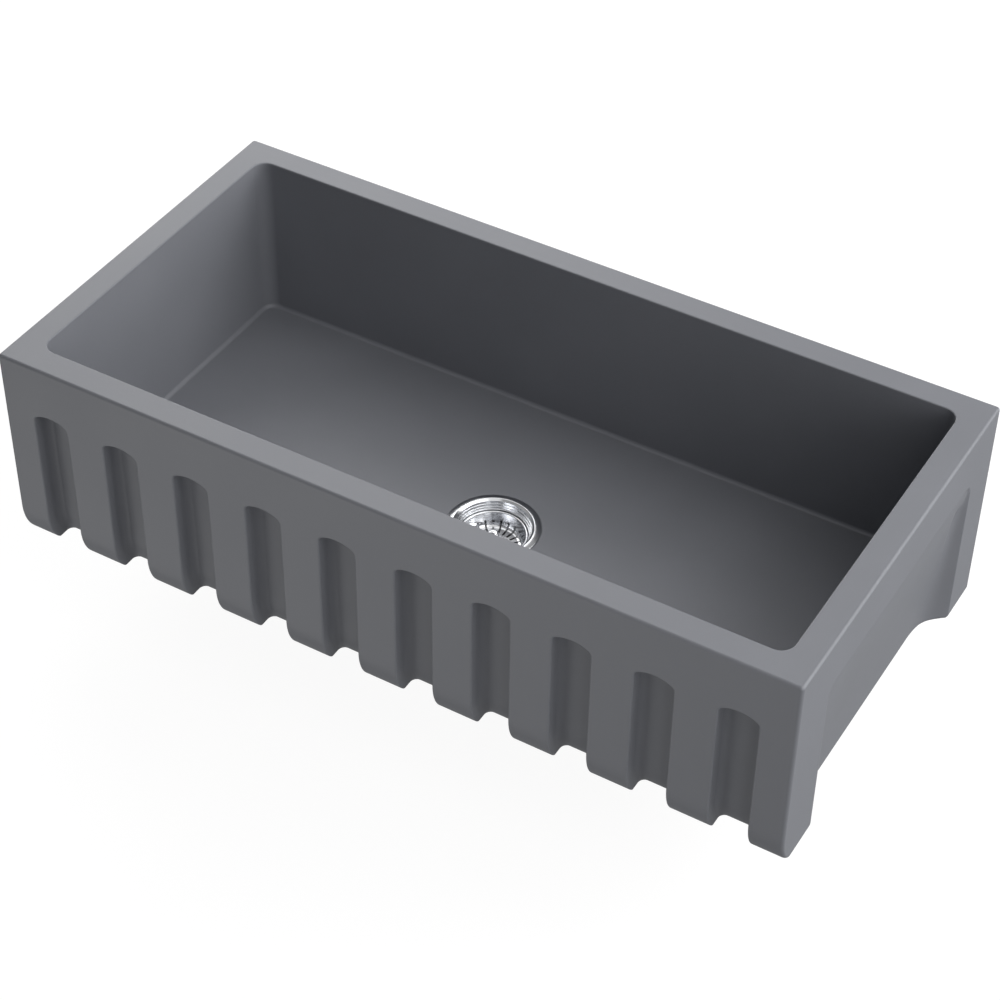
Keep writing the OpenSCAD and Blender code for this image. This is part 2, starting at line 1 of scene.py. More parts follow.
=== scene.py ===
# %% [markdown]
# # A fluted fireclay sink and its basket strainer
# The sink's construction comes packed, each piece at its real size and in its place. This lesson
# dresses those pieces: it rebuilds their skins with the small roundings that clay, steel and brass
# have, gives each one its finish, and lights the whole softly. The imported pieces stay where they
# are, hidden behind the skins that stand for them.

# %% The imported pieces
import json
from collections import namedtuple

import bpy
import numpy as np
from mathutils import Matrix, Vector
from mathutils.geometry import tessellate_polygon


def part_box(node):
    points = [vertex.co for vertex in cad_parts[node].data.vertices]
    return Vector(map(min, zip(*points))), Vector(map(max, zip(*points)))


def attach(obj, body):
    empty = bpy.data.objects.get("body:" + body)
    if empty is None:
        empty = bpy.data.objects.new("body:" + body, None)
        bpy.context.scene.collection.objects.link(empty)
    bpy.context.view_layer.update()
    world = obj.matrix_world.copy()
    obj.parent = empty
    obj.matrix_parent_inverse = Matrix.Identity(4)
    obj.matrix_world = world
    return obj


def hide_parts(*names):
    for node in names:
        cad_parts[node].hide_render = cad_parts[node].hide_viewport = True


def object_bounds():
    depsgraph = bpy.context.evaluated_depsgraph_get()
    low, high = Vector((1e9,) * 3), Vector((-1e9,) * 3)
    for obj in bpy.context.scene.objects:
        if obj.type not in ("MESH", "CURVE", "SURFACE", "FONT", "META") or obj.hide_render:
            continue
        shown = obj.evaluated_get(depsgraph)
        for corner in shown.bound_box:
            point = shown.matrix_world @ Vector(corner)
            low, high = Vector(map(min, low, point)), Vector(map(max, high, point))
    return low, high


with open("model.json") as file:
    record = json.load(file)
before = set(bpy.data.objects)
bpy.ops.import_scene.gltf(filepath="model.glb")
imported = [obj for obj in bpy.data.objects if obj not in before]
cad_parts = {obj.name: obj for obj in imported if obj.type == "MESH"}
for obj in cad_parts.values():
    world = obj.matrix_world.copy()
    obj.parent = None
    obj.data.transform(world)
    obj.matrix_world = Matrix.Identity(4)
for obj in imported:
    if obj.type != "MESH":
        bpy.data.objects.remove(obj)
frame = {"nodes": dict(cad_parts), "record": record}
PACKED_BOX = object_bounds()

MM = 0.001

# %% [markdown]
# ## The camera
# The sink is seen from its front right corner, from well above, with a long lens. The view came
# from the straight edges of the rim and the apron: they fix the lens, the direction and a roll of
# one degree. It is set first, because everything later is judged through it.

# %% The camera
VIEW_AZIMUTH = np.radians(30.117)
VIEW_ELEVATION = np.radians(42.032)
VIEW_ROLL = np.radians(0.816)
CAMERA_PLACE = (1.00637, -1.72095, 1.88731)
FOCAL_SHARE = 2.53231  # focal length as a share of the picture's width

camera = bpy.data.objects.new("camera", bpy.data.cameras.new("camera"))
bpy.context.scene.collection.objects.link(camera)
bpy.context.scene.camera = camera
camera.data.sensor_width = 36
camera.data.lens = FOCAL_SHARE * camera.data.sensor_width
camera.data.clip_start = 0.1
camera.data.clip_end = 50
backward = Vector((np.sin(VIEW_AZIMUTH) * np.cos(VIEW_ELEVATION),
                   -np.cos(VIEW_AZIMUTH) * np.cos(VIEW_ELEVATION),
                   np.sin(VIEW_ELEVATION)))
level = Vector((np.cos(VIEW_AZIMUTH), np.sin(VIEW_AZIMUTH), 0))
upward = backward.cross(level)
rightward = level * np.cos(VIEW_ROLL) + upward * np.sin(VIEW_ROLL)
facing = Matrix((rightward, backward.cross(rightward), backward)).transposed()
camera.matrix_world = Matrix.Translation(CAMERA_PLACE) @ facing.to_4x4()
print("camera: lens", round(camera.data.lens, 2), "mm, at", CAMERA_PLACE)

# %% [markdown]
# ## Surfaces from formulas
# Each skin is a set of grids. A grid holds points and the normal that the true surface has at each
# of them, so a flat face stays flat right up to the arc that rounds its edge. A bevel modifier
# could round the edges too, but it would guess the normals and lose its way where arcs of several
# sizes meet. Two ways of making grids cover the whole sink. One carries an outline of straight runs
# and arcs along a path, as a clay worker's template or a lathe tool does. The other takes any
# formula of two numbers, and finds the normals by small steps.

# %% Outlines, paths and grids
Grid = namedtuple("Grid", "points normals")
Line = namedtuple("Line", "points normals")
STEP = 1e-3  # small step of a formula's numbers, for its normals


def outline(corners, closed=False, turn=11.25, longest=1e9):
    """Straight runs joined by arcs. Each corner is x, y and the radius of its arc, and the
    outside lies to the right of the way round: an arc's point is its centre plus the radius
    times the normal, which turns steadily from one run's to the next's."""
    corners = np.array(corners, float)
    places, radii = corners[:, :2], corners[:, 2]
    ahead = np.roll(places, -1, axis=0) - places
    ahead /= np.maximum(np.linalg.norm(ahead, axis=1, keepdims=True), 1e-12)
    behind = np.roll(ahead, 1, axis=0)
    if not closed:
        ahead[-1] = behind[-1]
        behind[0] = ahead[0]
    points, normals = [], []
    for place, radius, came, goes in zip(places, radii, behind, ahead):
        bend = np.arctan2(came[0] * goes[1] - came[1] * goes[0], came @ goes)
        start = np.arctan2(-came[0], came[1])
        arcs = abs(bend) > 1e-6
        count = 1 + arcs
        if arcs and radius:
            count = max(2, int(np.ceil(np.degrees(abs(bend)) / turn)) + 1)
        angle = start + np.linspace(0, bend, count)
        normal = np.stack([np.cos(angle), np.sin(angle)], -1)
        side = np.sign(bend) * radius
        centre = place - came * radius * np.tan(abs(bend) / 2) - side * normal[0]
        points.append(centre + side * normal)
        normals.append(normal)
    if closed:
        points.append(points[0][:1])
        normals.append(normals[0][:1])
    points, normals = np.concatenate(points), np.concatenate(normals)
    pieces = np.ceil(np.linalg.norm(np.diff(points, axis=0), axis=1) / longest)
    pieces = np.maximum(pieces, 1).astype(int)
    station = np.concatenate([[0], np.cumsum(pieces)])
    fine = np.arange(station[-1] + 1)
    return Line(*(np.stack([np.interp(fine, station, part[:, k]) for k in (0, 1)], -1)
                  for part in (points, normals)))


def swept(path, profile):
    """Carries a profile along a plan path: a point is the path's point, plus the profile's
    first number times the path's normal, raised by its second number."""
    plan = path.points[:, None] + path.normals[:, None] * profile.points[None, :, :1]
    across = path.normals[:, None] * profile.normals[None, :, :1]
    height, rise = (np.broadcast_to(part[None, :, 1:], plan.shape[:2] + (1,))
                    for part in (profile.points, profile.normals))
    return Grid(np.concatenate([plan, height], -1), np.concatenate([across, rise], -1))


def sheet(formula, u, v, flip=False):
    """A grid of the points formula(u, v). The normal is the cross product of two small steps,
    one along u and one along v, taken just inside the ends."""
    u, v = np.meshgrid(u, v, indexing="ij")

    def at(a, b):
        """The formula's x, y and z as one array of points."""
        return np.stack(np.broadcast_arrays(*formula(a, b)), -1)

    a = np.clip(u, u.min() + STEP, u.max() - STEP)
    b = np.clip(v, v.min() + STEP, v.max() - STEP)
    normals = np.cross(at(a + STEP, b) - at(a - STEP, b), at(a, b + STEP) - at(a, b - STEP))
    normals /= np.maximum(np.linalg.norm(normals, axis=-1, keepdims=True), 1e-12)
    return Grid(at(u, v), -normals if flip else normals)


AROUND = 144  # steps of a turned piece


def circle(count=AROUND):
    """The path of a lathe: no distance from the axis, and normals all round."""
    angle = np.linspace(0, 2 * np.pi, count + 1)
    normals = np.stack([np.cos(angle), np.sin(angle)], -1)
    return Line(normals * 0, normals)


def lathe(corners, closed=False, count=AROUND, turn=15):
    """A turned surface: an outline of radius and height, carried round the upright axis."""
    return swept(circle(count), outline(corners, closed, turn))


def mirrored(grid):
    """The same grid on the other side of the plane x = 0."""
    return Grid(*(part * np.array([-1, 1, 1]) for part in grid))


def moved(grid, by):
    """The same grid, shifted."""
    return Grid(grid.points + np.array(by, float), grid.normals)


def spin(angle):
    """The matrix that turns rows of x, y and a third number: x and y take cosine and sine
    shares of each other, and the third number stays."""
    cos, sin = np.cos(angle), np.sin(angle)
    return np.array([[cos, sin, 0], [-sin, cos, 0], [0, 0, 1]])


def turned(grid, angle):
    """The same grid, turned about the upright axis."""
    return Grid(*(part @ spin(angle) for part in grid))


print("kit of surfaces ready")

# %% [markdown]
# ## Welding grids into a mesh
# Grids meet along shared lines of points. Points that agree to a hundredth of a millimetre become
# one vertex, faces that shrink to a line are dropped, and each face is turned so that it looks the
# way its normals say. The normals go to the corners of the faces, not to the vertices, so two grids
# can meet in a crisp edge. Merging by distance in Blender would do the first of these, but it can't
# know which way a face should look. The count of open edges is printed, because a watertight skin
# has none.

# %% Flat faces and welding
Flat = namedtuple("Flat", "points triangles normal")
WELD = 0.01
WELD_SHIFT = 0.137  # keeps round sizes away from the border between two keys


def flat(loops, normal):
    """Fills the level region between an outer loop and the holes in it with triangles."""
    loops = [loop[np.linalg.norm(loop - np.roll(loop, 1, axis=0), axis=1) > WELD] for loop in loops]
    triangles = tessellate_polygon([[Vector(point) for point in loop] for loop in loops])
    return Flat(np.concatenate(loops), np.array(triangles), np.array(normal, float))


def corners_of(part, start):
    """The faces of a grid or a flat as four corner numbers each, a triangle's last one twice."""
    if isinstance(part, Flat):
        return np.concatenate([part.triangles, part.triangles[:, -1:]], 1) + start
    number = np.arange(part.points.size // 3).reshape(part.points.shape[:2]) + start
    four = [number[:-1, :-1], number[1:, :-1], number[1:, 1:], number[:-1, 1:]]
    return np.stack(four, -1).reshape(-1, 4)


def weld(name, parts):
    """Makes one mesh object, in metres, from grids and flats in millimetres."""
    sizes = [part.points.size // 3 for part in parts]
    starts = np.cumsum([0] + sizes[:-1])
    points = np.concatenate([part.points.reshape(-1, 3) for part in parts])
    normals = np.concatenate([
        np.broadcast_to(part.normal, part.points.shape) if isinstance(part, Flat)
        else part.normals.reshape(-1, 3) for part in parts])
    faces = []
    for part, start in zip(parts, starts):
        corner = corners_of(part, start)
        first, second, third, fourth = points[corner.T]
        looks = np.cross(third - first, fourth - second)
        faces.append(corner if (looks * normals[corner].sum(1)).sum() > 0 else corner[:, ::-1])
    faces = np.concatenate(faces)
    keys = np.floor(points / WELD + WELD_SHIFT).astype(np.int64)
    _, kept, vertex = np.unique(keys, axis=0, return_index=True, return_inverse=True)
    vertex = vertex.reshape(-1)
    corner = vertex[faces]
    fresh = corner != np.roll(corner, 1, axis=1)
    whole = (fresh.sum(1) > 2) & (corner[:, 0] != corner[:, 2]) & (corner[:, 1] != corner[:, 3])
    faces, corner, fresh = faces[whole], corner[whole], fresh[whole]
    loops, loop_normals, count = corner[fresh], normals[faces][fresh], fresh.sum(1)
    used, loops = np.unique(loops, return_inverse=True)
    begin = np.cumsum(count) - count

    mesh = bpy.data.meshes.new(name)
    mesh.vertices.add(len(used))
    mesh.vertices.foreach_set("co", (points[kept[used]] * MM).astype(np.float32).ravel())
    mesh.loops.add(len(loops))
    mesh.loops.foreach_set("vertex_index", loops.astype(np.int32))
    mesh.polygons.add(len(count))
    mesh.polygons.foreach_set("loop_start", begin.astype(np.int32))
    mesh.polygons.foreach_set("use_smooth", np.ones(len(count), bool))
    mesh.update(calc_edges=True)
    mesh.normals_split_custom_set(loop_normals)
    piece = bpy.data.objects.new(name, mesh)
    bpy.context.scene.collection.objects.link(piece)

    following = np.arange(len(loops)) + 1
    following[begin + count - 1] = begin
    edges = loops * len(used) + loops[following]
    back = loops[following] * len(used) + loops
    open_edges, doubled = np.sum(~np.isin(edges, back)), len(edges) - len(np.unique(edges))
    print(f"{name}: {len(count)} faces, {np.sum(count - 2)} triangles, "
          f"{open_edges} open edges, {doubled} doubled")
    return piece


print("welding ready")

# %% [markdown]
# ## Shader arithmetic
# Each finish is a few patterns mixed by arithmetic. The nodes could be laid out by hand, one line
# for each link. Here a small class wraps a socket instead, so that a mask can be written as an
# expression, and one method adds any other node with its settings and inputs.

# %% Sockets with arithmetic
class Wire:
    """One socket of a material's nodes. Arithmetic on it adds Math nodes."""

    def __init__(self, tree, socket=None):
        self.tree = tree
        self.socket = socket

    def node(self, kind, settings=(), inputs=(), out=0):
        """Adds a node: its settings first, then its inputs, which are values or wires."""
        made = self.tree.nodes.new("ShaderNode" + kind)
        for name, value in dict(settings).items():
            if name == "stops":
                for stop, (place, colour) in zip(made.color_ramp.elements, value):
                    stop.position = place
                    stop.color = colour
            else:
                setattr(made, name, value)
        for name, value in dict(inputs).items():
            if isinstance(value, Wire):
                self.tree.links.new(value.socket, made.inputs[name])
            else:
                made.inputs[name].default_value = value
        return Wire(self.tree, made.outputs[out])

    def maths(self, operation, *values):
        """A Math node on values or wires."""
        return self.node("Math", {"operation": operation}, enumerate(values))

    def __add__(self, other):
        return self.maths("ADD", self, other)

    def __sub__(self, other):
        return self.maths("SUBTRACT", self, other)

    def __rsub__(self, other):
        return self.maths("SUBTRACT", other, self)

    def __mul__(self, other):
        return self.maths("MULTIPLY", self, other)

    def __pow__(self, other):
        return self.maths("POWER", self, other)

    __radd__ = __add__
    __rmul__ = __mul__

    def clamped(self, low, high):
        """The part of the value between two levels, as 0 to 1."""
        return self.node("MapRange", {"clamp": True}, {0: self, 1: low, 2: high, 3: 0.0, 4: 1.0})

    def noise(self, scale, detail=2.0, roughness=0.5):
        """Even noise at that many lumps per metre, on the piece's own coordinates."""
        return self.node("TexNoise", {}, {"Vector": self, "Scale": scale, "Detail": detail,
                                          "Roughness": roughness})

    def blend(self, dark, light):
        """A colour between two, chosen by this value."""
        return self.node("Mix", {"data_type": "RGBA"}, {0: self, 6: dark, 7: light}, out=2)


def material(name, **fixed):
    """A new material: its start wire, its shader and its place on the piece."""
    made = bpy.data.materials.new(name)
    made.use_nodes = True
    shader = made.node_tree.nodes["Principled BSDF"]
    for socket, value in fixed.items():
        shader.inputs[socket.replace("_", " ")].default_value = value
    place = Wire(made.node_tree).node("TexCoord", out=3)
    return made, shader, place


def feed(shader, **wires):
    """Links wires to the shader's sockets."""
    for socket, wire in wires.items():
        wire.tree.links.new(wire.socket, shader.inputs[socket.replace("_", " ")])


def bump(height, distance, strength=1.0):
    """A normal that follows a height pattern, whose full rise is the distance in metres."""
    return height.node("Bump", {}, {"Height": height, "Distance": distance, "Strength": strength})


print("shader arithmetic ready")

# %% [markdown]
# ## Matte glazed fireclay
# The body is fired with a matte grey glaze. Close up it has a grain finer than a millimetre, and
# over a few centimetres the glaze lies a little unevenly, which only shows where light grazes it.
# The foot and the hollow under the bowl stand in the kiln and stay bare clay, paler and rougher. An
# attribute of the faces tells the two apart, because bare clay ends at an edge and not at a height.

# %% Matte glazed fireclay
GLAZE_DARK = (0.178, 0.184, 0.203, 1)
GLAZE_LIGHT = (0.198, 0.204, 0.225, 1)
BARE_DARK = (0.50, 0.45, 0.38, 1)
BARE_LIGHT = (0.66, 0.61, 0.53, 1)


def fireclay():
    """Glaze and bare clay, mixed by the attribute: 0.6 clouds and 0.4 grain choose the glaze's
    shade, specks choose the clay's, and the same patterns make the surface uneven."""
    made, shader, place = material("glazed_clay", IOR=1.5)
    cloud = place.noise(9, 3).clamped(0.3, 0.7)
    grain = place.noise(1500, 2, 0.6)
    peel = place.noise(170, 2)
    bare = place.node("Attribute", {"attribute_name": "bare_clay"}, out=2)
    speck = place.noise(420, 3, 0.7).clamped(0.35, 0.7)
    glaze = (cloud * 0.6 + grain.clamped(0.35, 0.65) * 0.4).blend(GLAZE_DARK, GLAZE_LIGHT)
    feed(shader,
         Base_Color=bare.blend(glaze, speck.blend(BARE_DARK, BARE_LIGHT)),
         Roughness=0.46 + cloud * 0.06 + bare * 0.38,
         Normal=bump(grain * 0.35 + peel * 0.65 + bare * speck, 0.00012, 0.55))
    return made


clay = fireclay()
print("made", clay.name)

# %% [markdown]
# ## Metals, rubber and fibre
# The strainer's flange, cup and basket are polished on a lathe, which leaves fine rings round the
# axis. An anisotropic shader would stretch the highlights, but it shows no ring close up, so a
# noise that reads only the distance from the axis and the height draws them. The hidden steel is
# brushed and duller, the tailpiece and its nut are chrome plated, and the locknut is cast brass.
# Rubber is nearly black with a dusty bloom, and the fibre ring is pressed card with flecks.

# %% Turned and plated metals
def turned_place(place, rings, upright):
    """Coordinates that change only with the distance from the axis and with height."""
    apart = place.node("SeparateXYZ", {}, {0: place})
    x, y, z = (Wire(place.tree, apart.socket.node.outputs[k]) for k in range(3))
    radius = (x * x + y * y) ** 0.5
    return radius.node("CombineXYZ", {}, {0: radius * rings, 1: z * upright, 2: 0.0})


def metal(name, dark, light, rough, rough_swing, ring_depth, smear=0.5):
    """A turned metal: rings in its roughness and its surface, and faint clouds in its colour."""
    made, shader, place = material(name, Metallic=1.0)
    rings = turned_place(place, 1.0, 1.0).noise(2600, 2, 0.7)
    cloud = place.noise(60, 3)
    feed(shader,
         Base_Color=(cloud * smear + rings * (1 - smear)).clamped(0.3, 0.7).blend(dark, light),
         Roughness=(rough + cloud.clamped(0.3, 0.7) * rough_swing + rings * rough_swing),
         Normal=bump(rings, ring_depth, 0.6))
    return made


polished = metal("polished_steel", (0.66, 0.67, 0.69, 1), (0.80, 0.81, 0.83, 1),
                 rough=0.13, rough_swing=0.06, ring_depth=0.00001)
brushed = metal("brushed_steel", (0.52, 0.53, 0.55, 1), (0.66, 0.67, 0.68, 1),
                rough=0.26, rough_swing=0.08, ring_depth=0.00003)
chrome = metal("chrome_plate", (0.72, 0.73, 0.75, 1), (0.82, 0.83, 0.85, 1),
               rough=0.05, rough_swing=0.04, ring_depth=0.000004)
brass = metal("cast_brass", (0.50, 0.36, 0.16, 1), (0.66, 0.50, 0.25, 1),
              rough=0.30, rough_swing=0.12, ring_depth=0.00004, smear=0.9)
print("metals:", polished.name, brushed.name, chrome.name, brass.name)


# %% Rubber and fibre
def soft_stuff(name, dark, light, rough, scale, depth):
    """A dull material with flecks: noise in its colour, its roughness and its surface."""
    made, shader, place = material(name, IOR=1.45)
    fleck = place.noise(scale, 4, 0.65)
    bloom = place.noise(45, 3).clamped(0.35, 0.75)
    feed(shader,
         Base_Color=(fleck * 0.5 + bloom * 0.5).clamped(0.3, 0.8).blend(dark, light),
         Roughness=rough + bloom * 0.1,
         Normal=bump(fleck, depth, 0.7))
    return made


rubber = soft_stuff("black_rubber", (0.012, 0.012, 0.013, 1), (0.035, 0.035, 0.037, 1),
                    rough=0.62, scale=900, depth=0.00005)
fibre = soft_stuff("pressed_fibre", (0.20, 0.13, 0.075, 1), (0.36, 0.26, 0.16, 1),
                   rough=0.80, scale=700, depth=0.00012)
print("soft stuff:", rubber.name, fibre.name)

# %% [markdown]
# ## The clay body: sizes
# The body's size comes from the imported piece. What the maker chose on top of that is named here:
# rim, roundings, flutes, side recesses and the hollow underneath. Clay has no sharp edge, so each
# edge has its own radius, from the broad curl under the apron to the small one round the drain. The
# ribs end in a foot a little above the legs', with a level sole behind it and a slope down.

# %% The clay body's sizes, in millimetres
HALF_W, HALF_D, TOP = np.array(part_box("basin")[1]) / MM
RIM_W, RIM_EDGE, RIM_INNER = 31, 3.5, 1.5
CORNER, UNDER_SIDE, UNDER_BACK = 4, 5.5, 5
CURL_HIGH, CURL_DEEP, APRON_FOOT = 46, 29, 7
SOLE_DEEP, SLOPE_DEEP = 40, 58
FLOOR, CEILING, BOWL_CORNER, BOWL_FOOT = 51, 25, 16, 5
FLUTES, FLUTE_W, END_RIB = 10, 42, 38.2
FLUTE_DEEP, FLUTE_CROWN, ARCH = 20, TOP - 62.5, 37
FLUTE_EDGE, FLUTE_FOOT, FLUTE_SHOULDER = 2, 8, 7
RECESS_FRONT, RECESS_BACK, RECESS_TOP = 68 - HALF_D, HALF_D - 56, TOP - 62
LEAN, SWEEP, RECESS_CORNER = 29, 62, 14
GROOVE_DEEP, GROOVE_WIDE, GROOVE_START, GROOVE_FADE = 9, 32, RECESS_TOP - 12, 26
FOOT, FRONT_FOOT, HOLLOW_CORNER, HOLLOW_TOP = 35, 21, 25, 8
SHOULDER_Z = TOP - RIM_EDGE
PITCH = (2 * HALF_W - 2 * END_RIB - FLUTE_W) / (FLUTES - 1)
FOOT_ROWS = CURL_HIGH * (1 - np.cos(np.linspace(0, np.pi / 2, 17)))
print("body", 2 * HALF_W, "x", 2 * HALF_D, "x", TOP, "mm, flutes every", round(PITCH, 2))


def tuck(z, radius):
    """How far a face has drawn in at height z, where an arc of that radius rounds it under."""
    short = np.clip(radius - z, 0, radius)
    return radius - np.sqrt(radius ** 2 - short ** 2)


def curl(z):
    """How far the apron has drawn in at height z: a quarter of an ellipse, which is the tuck
    of a round of its height, times depth over height."""
    return CURL_DEEP / CURL_HIGH * tuck(z, CURL_HIGH)


def from_foot(z, foot):
    """Heights from 0 to the curl's top, squeezed so that they start at the foot instead."""
    return np.where(z < CURL_HIGH, foot + z * (1 - foot / CURL_HIGH), z)


# %% [markdown]
# ## The fluted apron
# A flute is a shallow niche with an arched top. Its edge is rounded over, its wall runs straight
# in, and a hollow fillet leads to its back. A boolean cut would give the niche but not its two
# roundings, so half of one flute is a single grid: one number climbs from the foot to the crown of
# the arch, the other goes from the middle of the rib, over the edge, down the wall and across the
# back to the flute's centre line. At each height the whole section is pushed back by the curl under
# the apron, so ribs and flutes curl alike.

# %% The outline of a flute
FRAME_TOP = 215  # where the flutes' grids end and the plain band above them starts
SIDE_TOP = 172  # where the flutes' straight sides end
SPRING_ROWS = np.concatenate([from_foot(FOOT_ROWS, APRON_FOOT),
                              np.linspace(CURL_HIGH, SIDE_TOP, 8)[1:]])
LEAST_FILLET = 0.8
FILLET_STEPS, ARCH_STEPS = 5, 8
ARCH_Z = FLUTE_CROWN - ARCH
straight = len(SPRING_ROWS)


def flute_line(t, out):
    """The flute's outline, moved outwards by out: a straight side, a fillet, then the arch.
    The fillet touches both, so its centre lies where the two moved lines leave its radius."""
    fillet = np.maximum(FLUTE_SHOULDER + out, LEAST_FILLET)
    reach = FLUTE_W / 2 + out - fillet
    rise = np.sqrt((ARCH + out - fillet) ** 2 - reach ** 2)
    angle = np.arctan2(rise, reach)
    climb = np.interp(t, np.arange(straight), SPRING_ROWS)
    last = np.clip(t - (straight - 1), 0, 1)
    side_z = climb + (ARCH_Z + rise - climb) * last
    bend = angle * np.clip((t - straight) / FILLET_STEPS, 0, 1)
    crown = angle + (np.pi / 2 - angle) * np.clip((t - straight - FILLET_STEPS) / ARCH_STEPS, 0, 1)
    on_arch = t > straight + FILLET_STEPS
    x = np.where(on_arch, (ARCH + out) * np.cos(crown), reach + fillet * np.cos(bend))
    z = np.where(on_arch, ARCH_Z + (ARCH + out) * np.sin(crown),
                 np.where(t > straight, ARCH_Z + rise + fillet * np.sin(bend), side_z))
    return x, z


print("a flute's outline has", straight, "rows up its straight side")


# %% Half a flute
def half_flute(t, v):
    """v runs 0-1 over the rib, 1-2 round its edge, 2-3 down the wall, 3-4 round the hollow
    fillet and 4-5 across the back."""
    round_in = np.clip(v - 1, 0, 1) * np.pi / 2
    round_out = np.clip(v - 3, 0, 1) * np.pi / 2
    out = FLUTE_EDGE * (1 - np.sin(round_in)) - FLUTE_FOOT * (1 - np.cos(round_out))
    wall = FLUTE_DEEP - FLUTE_EDGE - FLUTE_FOOT
    deep = (FLUTE_EDGE * (1 - np.cos(round_in)) + wall * np.clip(v - 2, 0, 1)
            + FLUTE_FOOT * np.sin(round_out))
    x, z = flute_line(t, out)
    _, spring = flute_line(np.array(float(straight)), FLUTE_EDGE)
    up = np.clip((t - straight) / FILLET_STEPS, 0, 1)
    frame_x = PITCH / 2 * (1 - np.clip((t - straight - FILLET_STEPS) / ARCH_STEPS, 0, 1))
    frame_z = np.where(t > straight, spring + (FRAME_TOP - spring) * up, z)
    rib = np.clip(v, 0, 1)
    x = frame_x + (x - frame_x) * rib
    z = frame_z + (z - frame_z) * rib
    return x * (1 - np.clip(v - 4, 0, 1)), -HALF_D + curl(z) + deep, z


def forward(grid, row):
    """The same grid with its normals turned about, if need be, so that the first one of that
    row looks to the front."""
    return Grid(grid.points, grid.normals * -np.sign(grid.normals[row, 0, 1]))


climb = np.arange(straight + FILLET_STEPS + ARCH_STEPS + 1.0)
across = np.concatenate([[0, 0.5], np.linspace(1, 2, 6), [2.5], np.linspace(3, 4, 8), [4.5, 5]])
flute = forward(sheet(half_flute, climb, across), row=5)
above = forward(sheet(lambda x, z: (x, -HALF_D + 0 * z, z),
                      PITCH / 2 * (1 - np.arange(ARCH_STEPS + 1) / ARCH_STEPS),
                      np.array([FRAME_TOP, SHOULDER_Z])), row=0)
print("half a flute:", flute.points.shape)

# %% [markdown]
# ## The sides
# Each side is sunk between two legs. Its wall leans in towards the foot, near each leg it sweeps
# back out in an arc, and a shallow groove runs down beside the back leg. Sculpting could give such
# a shape, but not twice the same, so the sunk depth is a formula over the flat side. It is the
# lesser of the lean and the sweep, or the groove where that is deeper, and it never passes the
# slope that starts at the recess's rounded outline. Soft forms of least and most melt them together
# as wet clay does, and a soft start rounds the legs' edges.

# %% Soft least and soft most
def soft_start(depth, width):
    """Nothing below minus the width, the depth itself above it, and a parabola between."""
    return np.where(depth > width, depth, np.clip(depth + width, 0, 2 * width) ** 2 / (4 * width))


def soft_least(a, b, share):
    """The smaller of two depths, melted together over a share of their sum."""
    width = share * (a + b) + 1e-9
    return np.minimum(a, b) - np.clip(width - np.abs(a - b), 0, None) ** 2 / (4 * width)


def soft_most(a, b, width):
    """The larger of two depths, melted together over that width."""
    return np.maximum(a, b) + np.clip(width - np.abs(a - b), 0, None) ** 2 / (4 * width)


print("a soft least of 3 and 4 is", soft_least(3.0, 4.0, 0.5))

# %% The sunk side as a height field
LEAN_START, SWEEP_START, EDGE_START = 0.8, 5.0, 1.6  # widths of the soft starts
WALL_MELT, EDGE_MELT, GROOVE_MELT = 0.35, 0.5, 4.0
EDGE_SLOPE = 2.2  # how steeply the recess's outline goes in
SWEEP_END = 0.995  # keeps the sweep's arc short of its upright end


def recess_depth(y, z):
    """Depth of the side's recess, by place along the side and height. The sweep is a circle's
    arc from each leg, the lean grows evenly from the recess's top, the groove is half a wave
    of a sine in plan that fades in downwards, and the edge is the distance from the outline."""
    run = np.sqrt(SWEEP ** 2 - (SWEEP - LEAN) ** 2)
    inward = np.minimum(y - RECESS_FRONT, RECESS_BACK - y)
    from_end = np.clip(run - inward, 0, SWEEP * SWEEP_END)
    sweep = np.sqrt(SWEEP ** 2 - from_end ** 2) - (SWEEP - LEAN)
    lean = LEAN * (RECESS_TOP - z) / RECESS_TOP
    beside = RECESS_CORNER - inward
    below = RECESS_CORNER - (RECESS_TOP - z)
    edge = RECESS_CORNER - np.hypot(np.clip(beside, 0, None), np.clip(below, 0, None))
    edge = np.where((beside < 0) | (below < 0), np.minimum(inward, RECESS_TOP - z), edge)
    depth = soft_least(soft_start(lean, LEAN_START), soft_start(sweep, SWEEP_START), WALL_MELT)
    groove = GROOVE_DEEP * np.sin(np.pi * np.clip((RECESS_BACK - y) / GROOVE_WIDE, 0, 1))
    fade = np.clip((GROOVE_START - z) / GROOVE_FADE, 0, 1)
    groove = groove * fade ** 2 * (3 - 2 * fade)
    depth = soft_most(depth, groove, GROOVE_MELT)
    return soft_least(depth, soft_start(EDGE_SLOPE * edge, EDGE_START), EDGE_MELT)


FRONT_BEND, BACK_BEND = -190, 212  # from here outwards the side's columns bend


def side_face(y, z):
    """The right-hand side: half the width less the tuck and the recess. Near the front and back
    its columns follow the curls under it, by a share that grows evenly to the corner."""
    front = np.clip((y - FRONT_BEND) / (CORNER - HALF_D - FRONT_BEND), 0, 1)
    back = np.clip((y - BACK_BEND) / (HALF_D - CORNER - BACK_BEND), 0, 1)
    place = y + front * curl(z) - back * tuck(z, UNDER_BACK)
    return HALF_W - tuck(z, UNDER_SIDE) - recess_depth(y, z), place, z


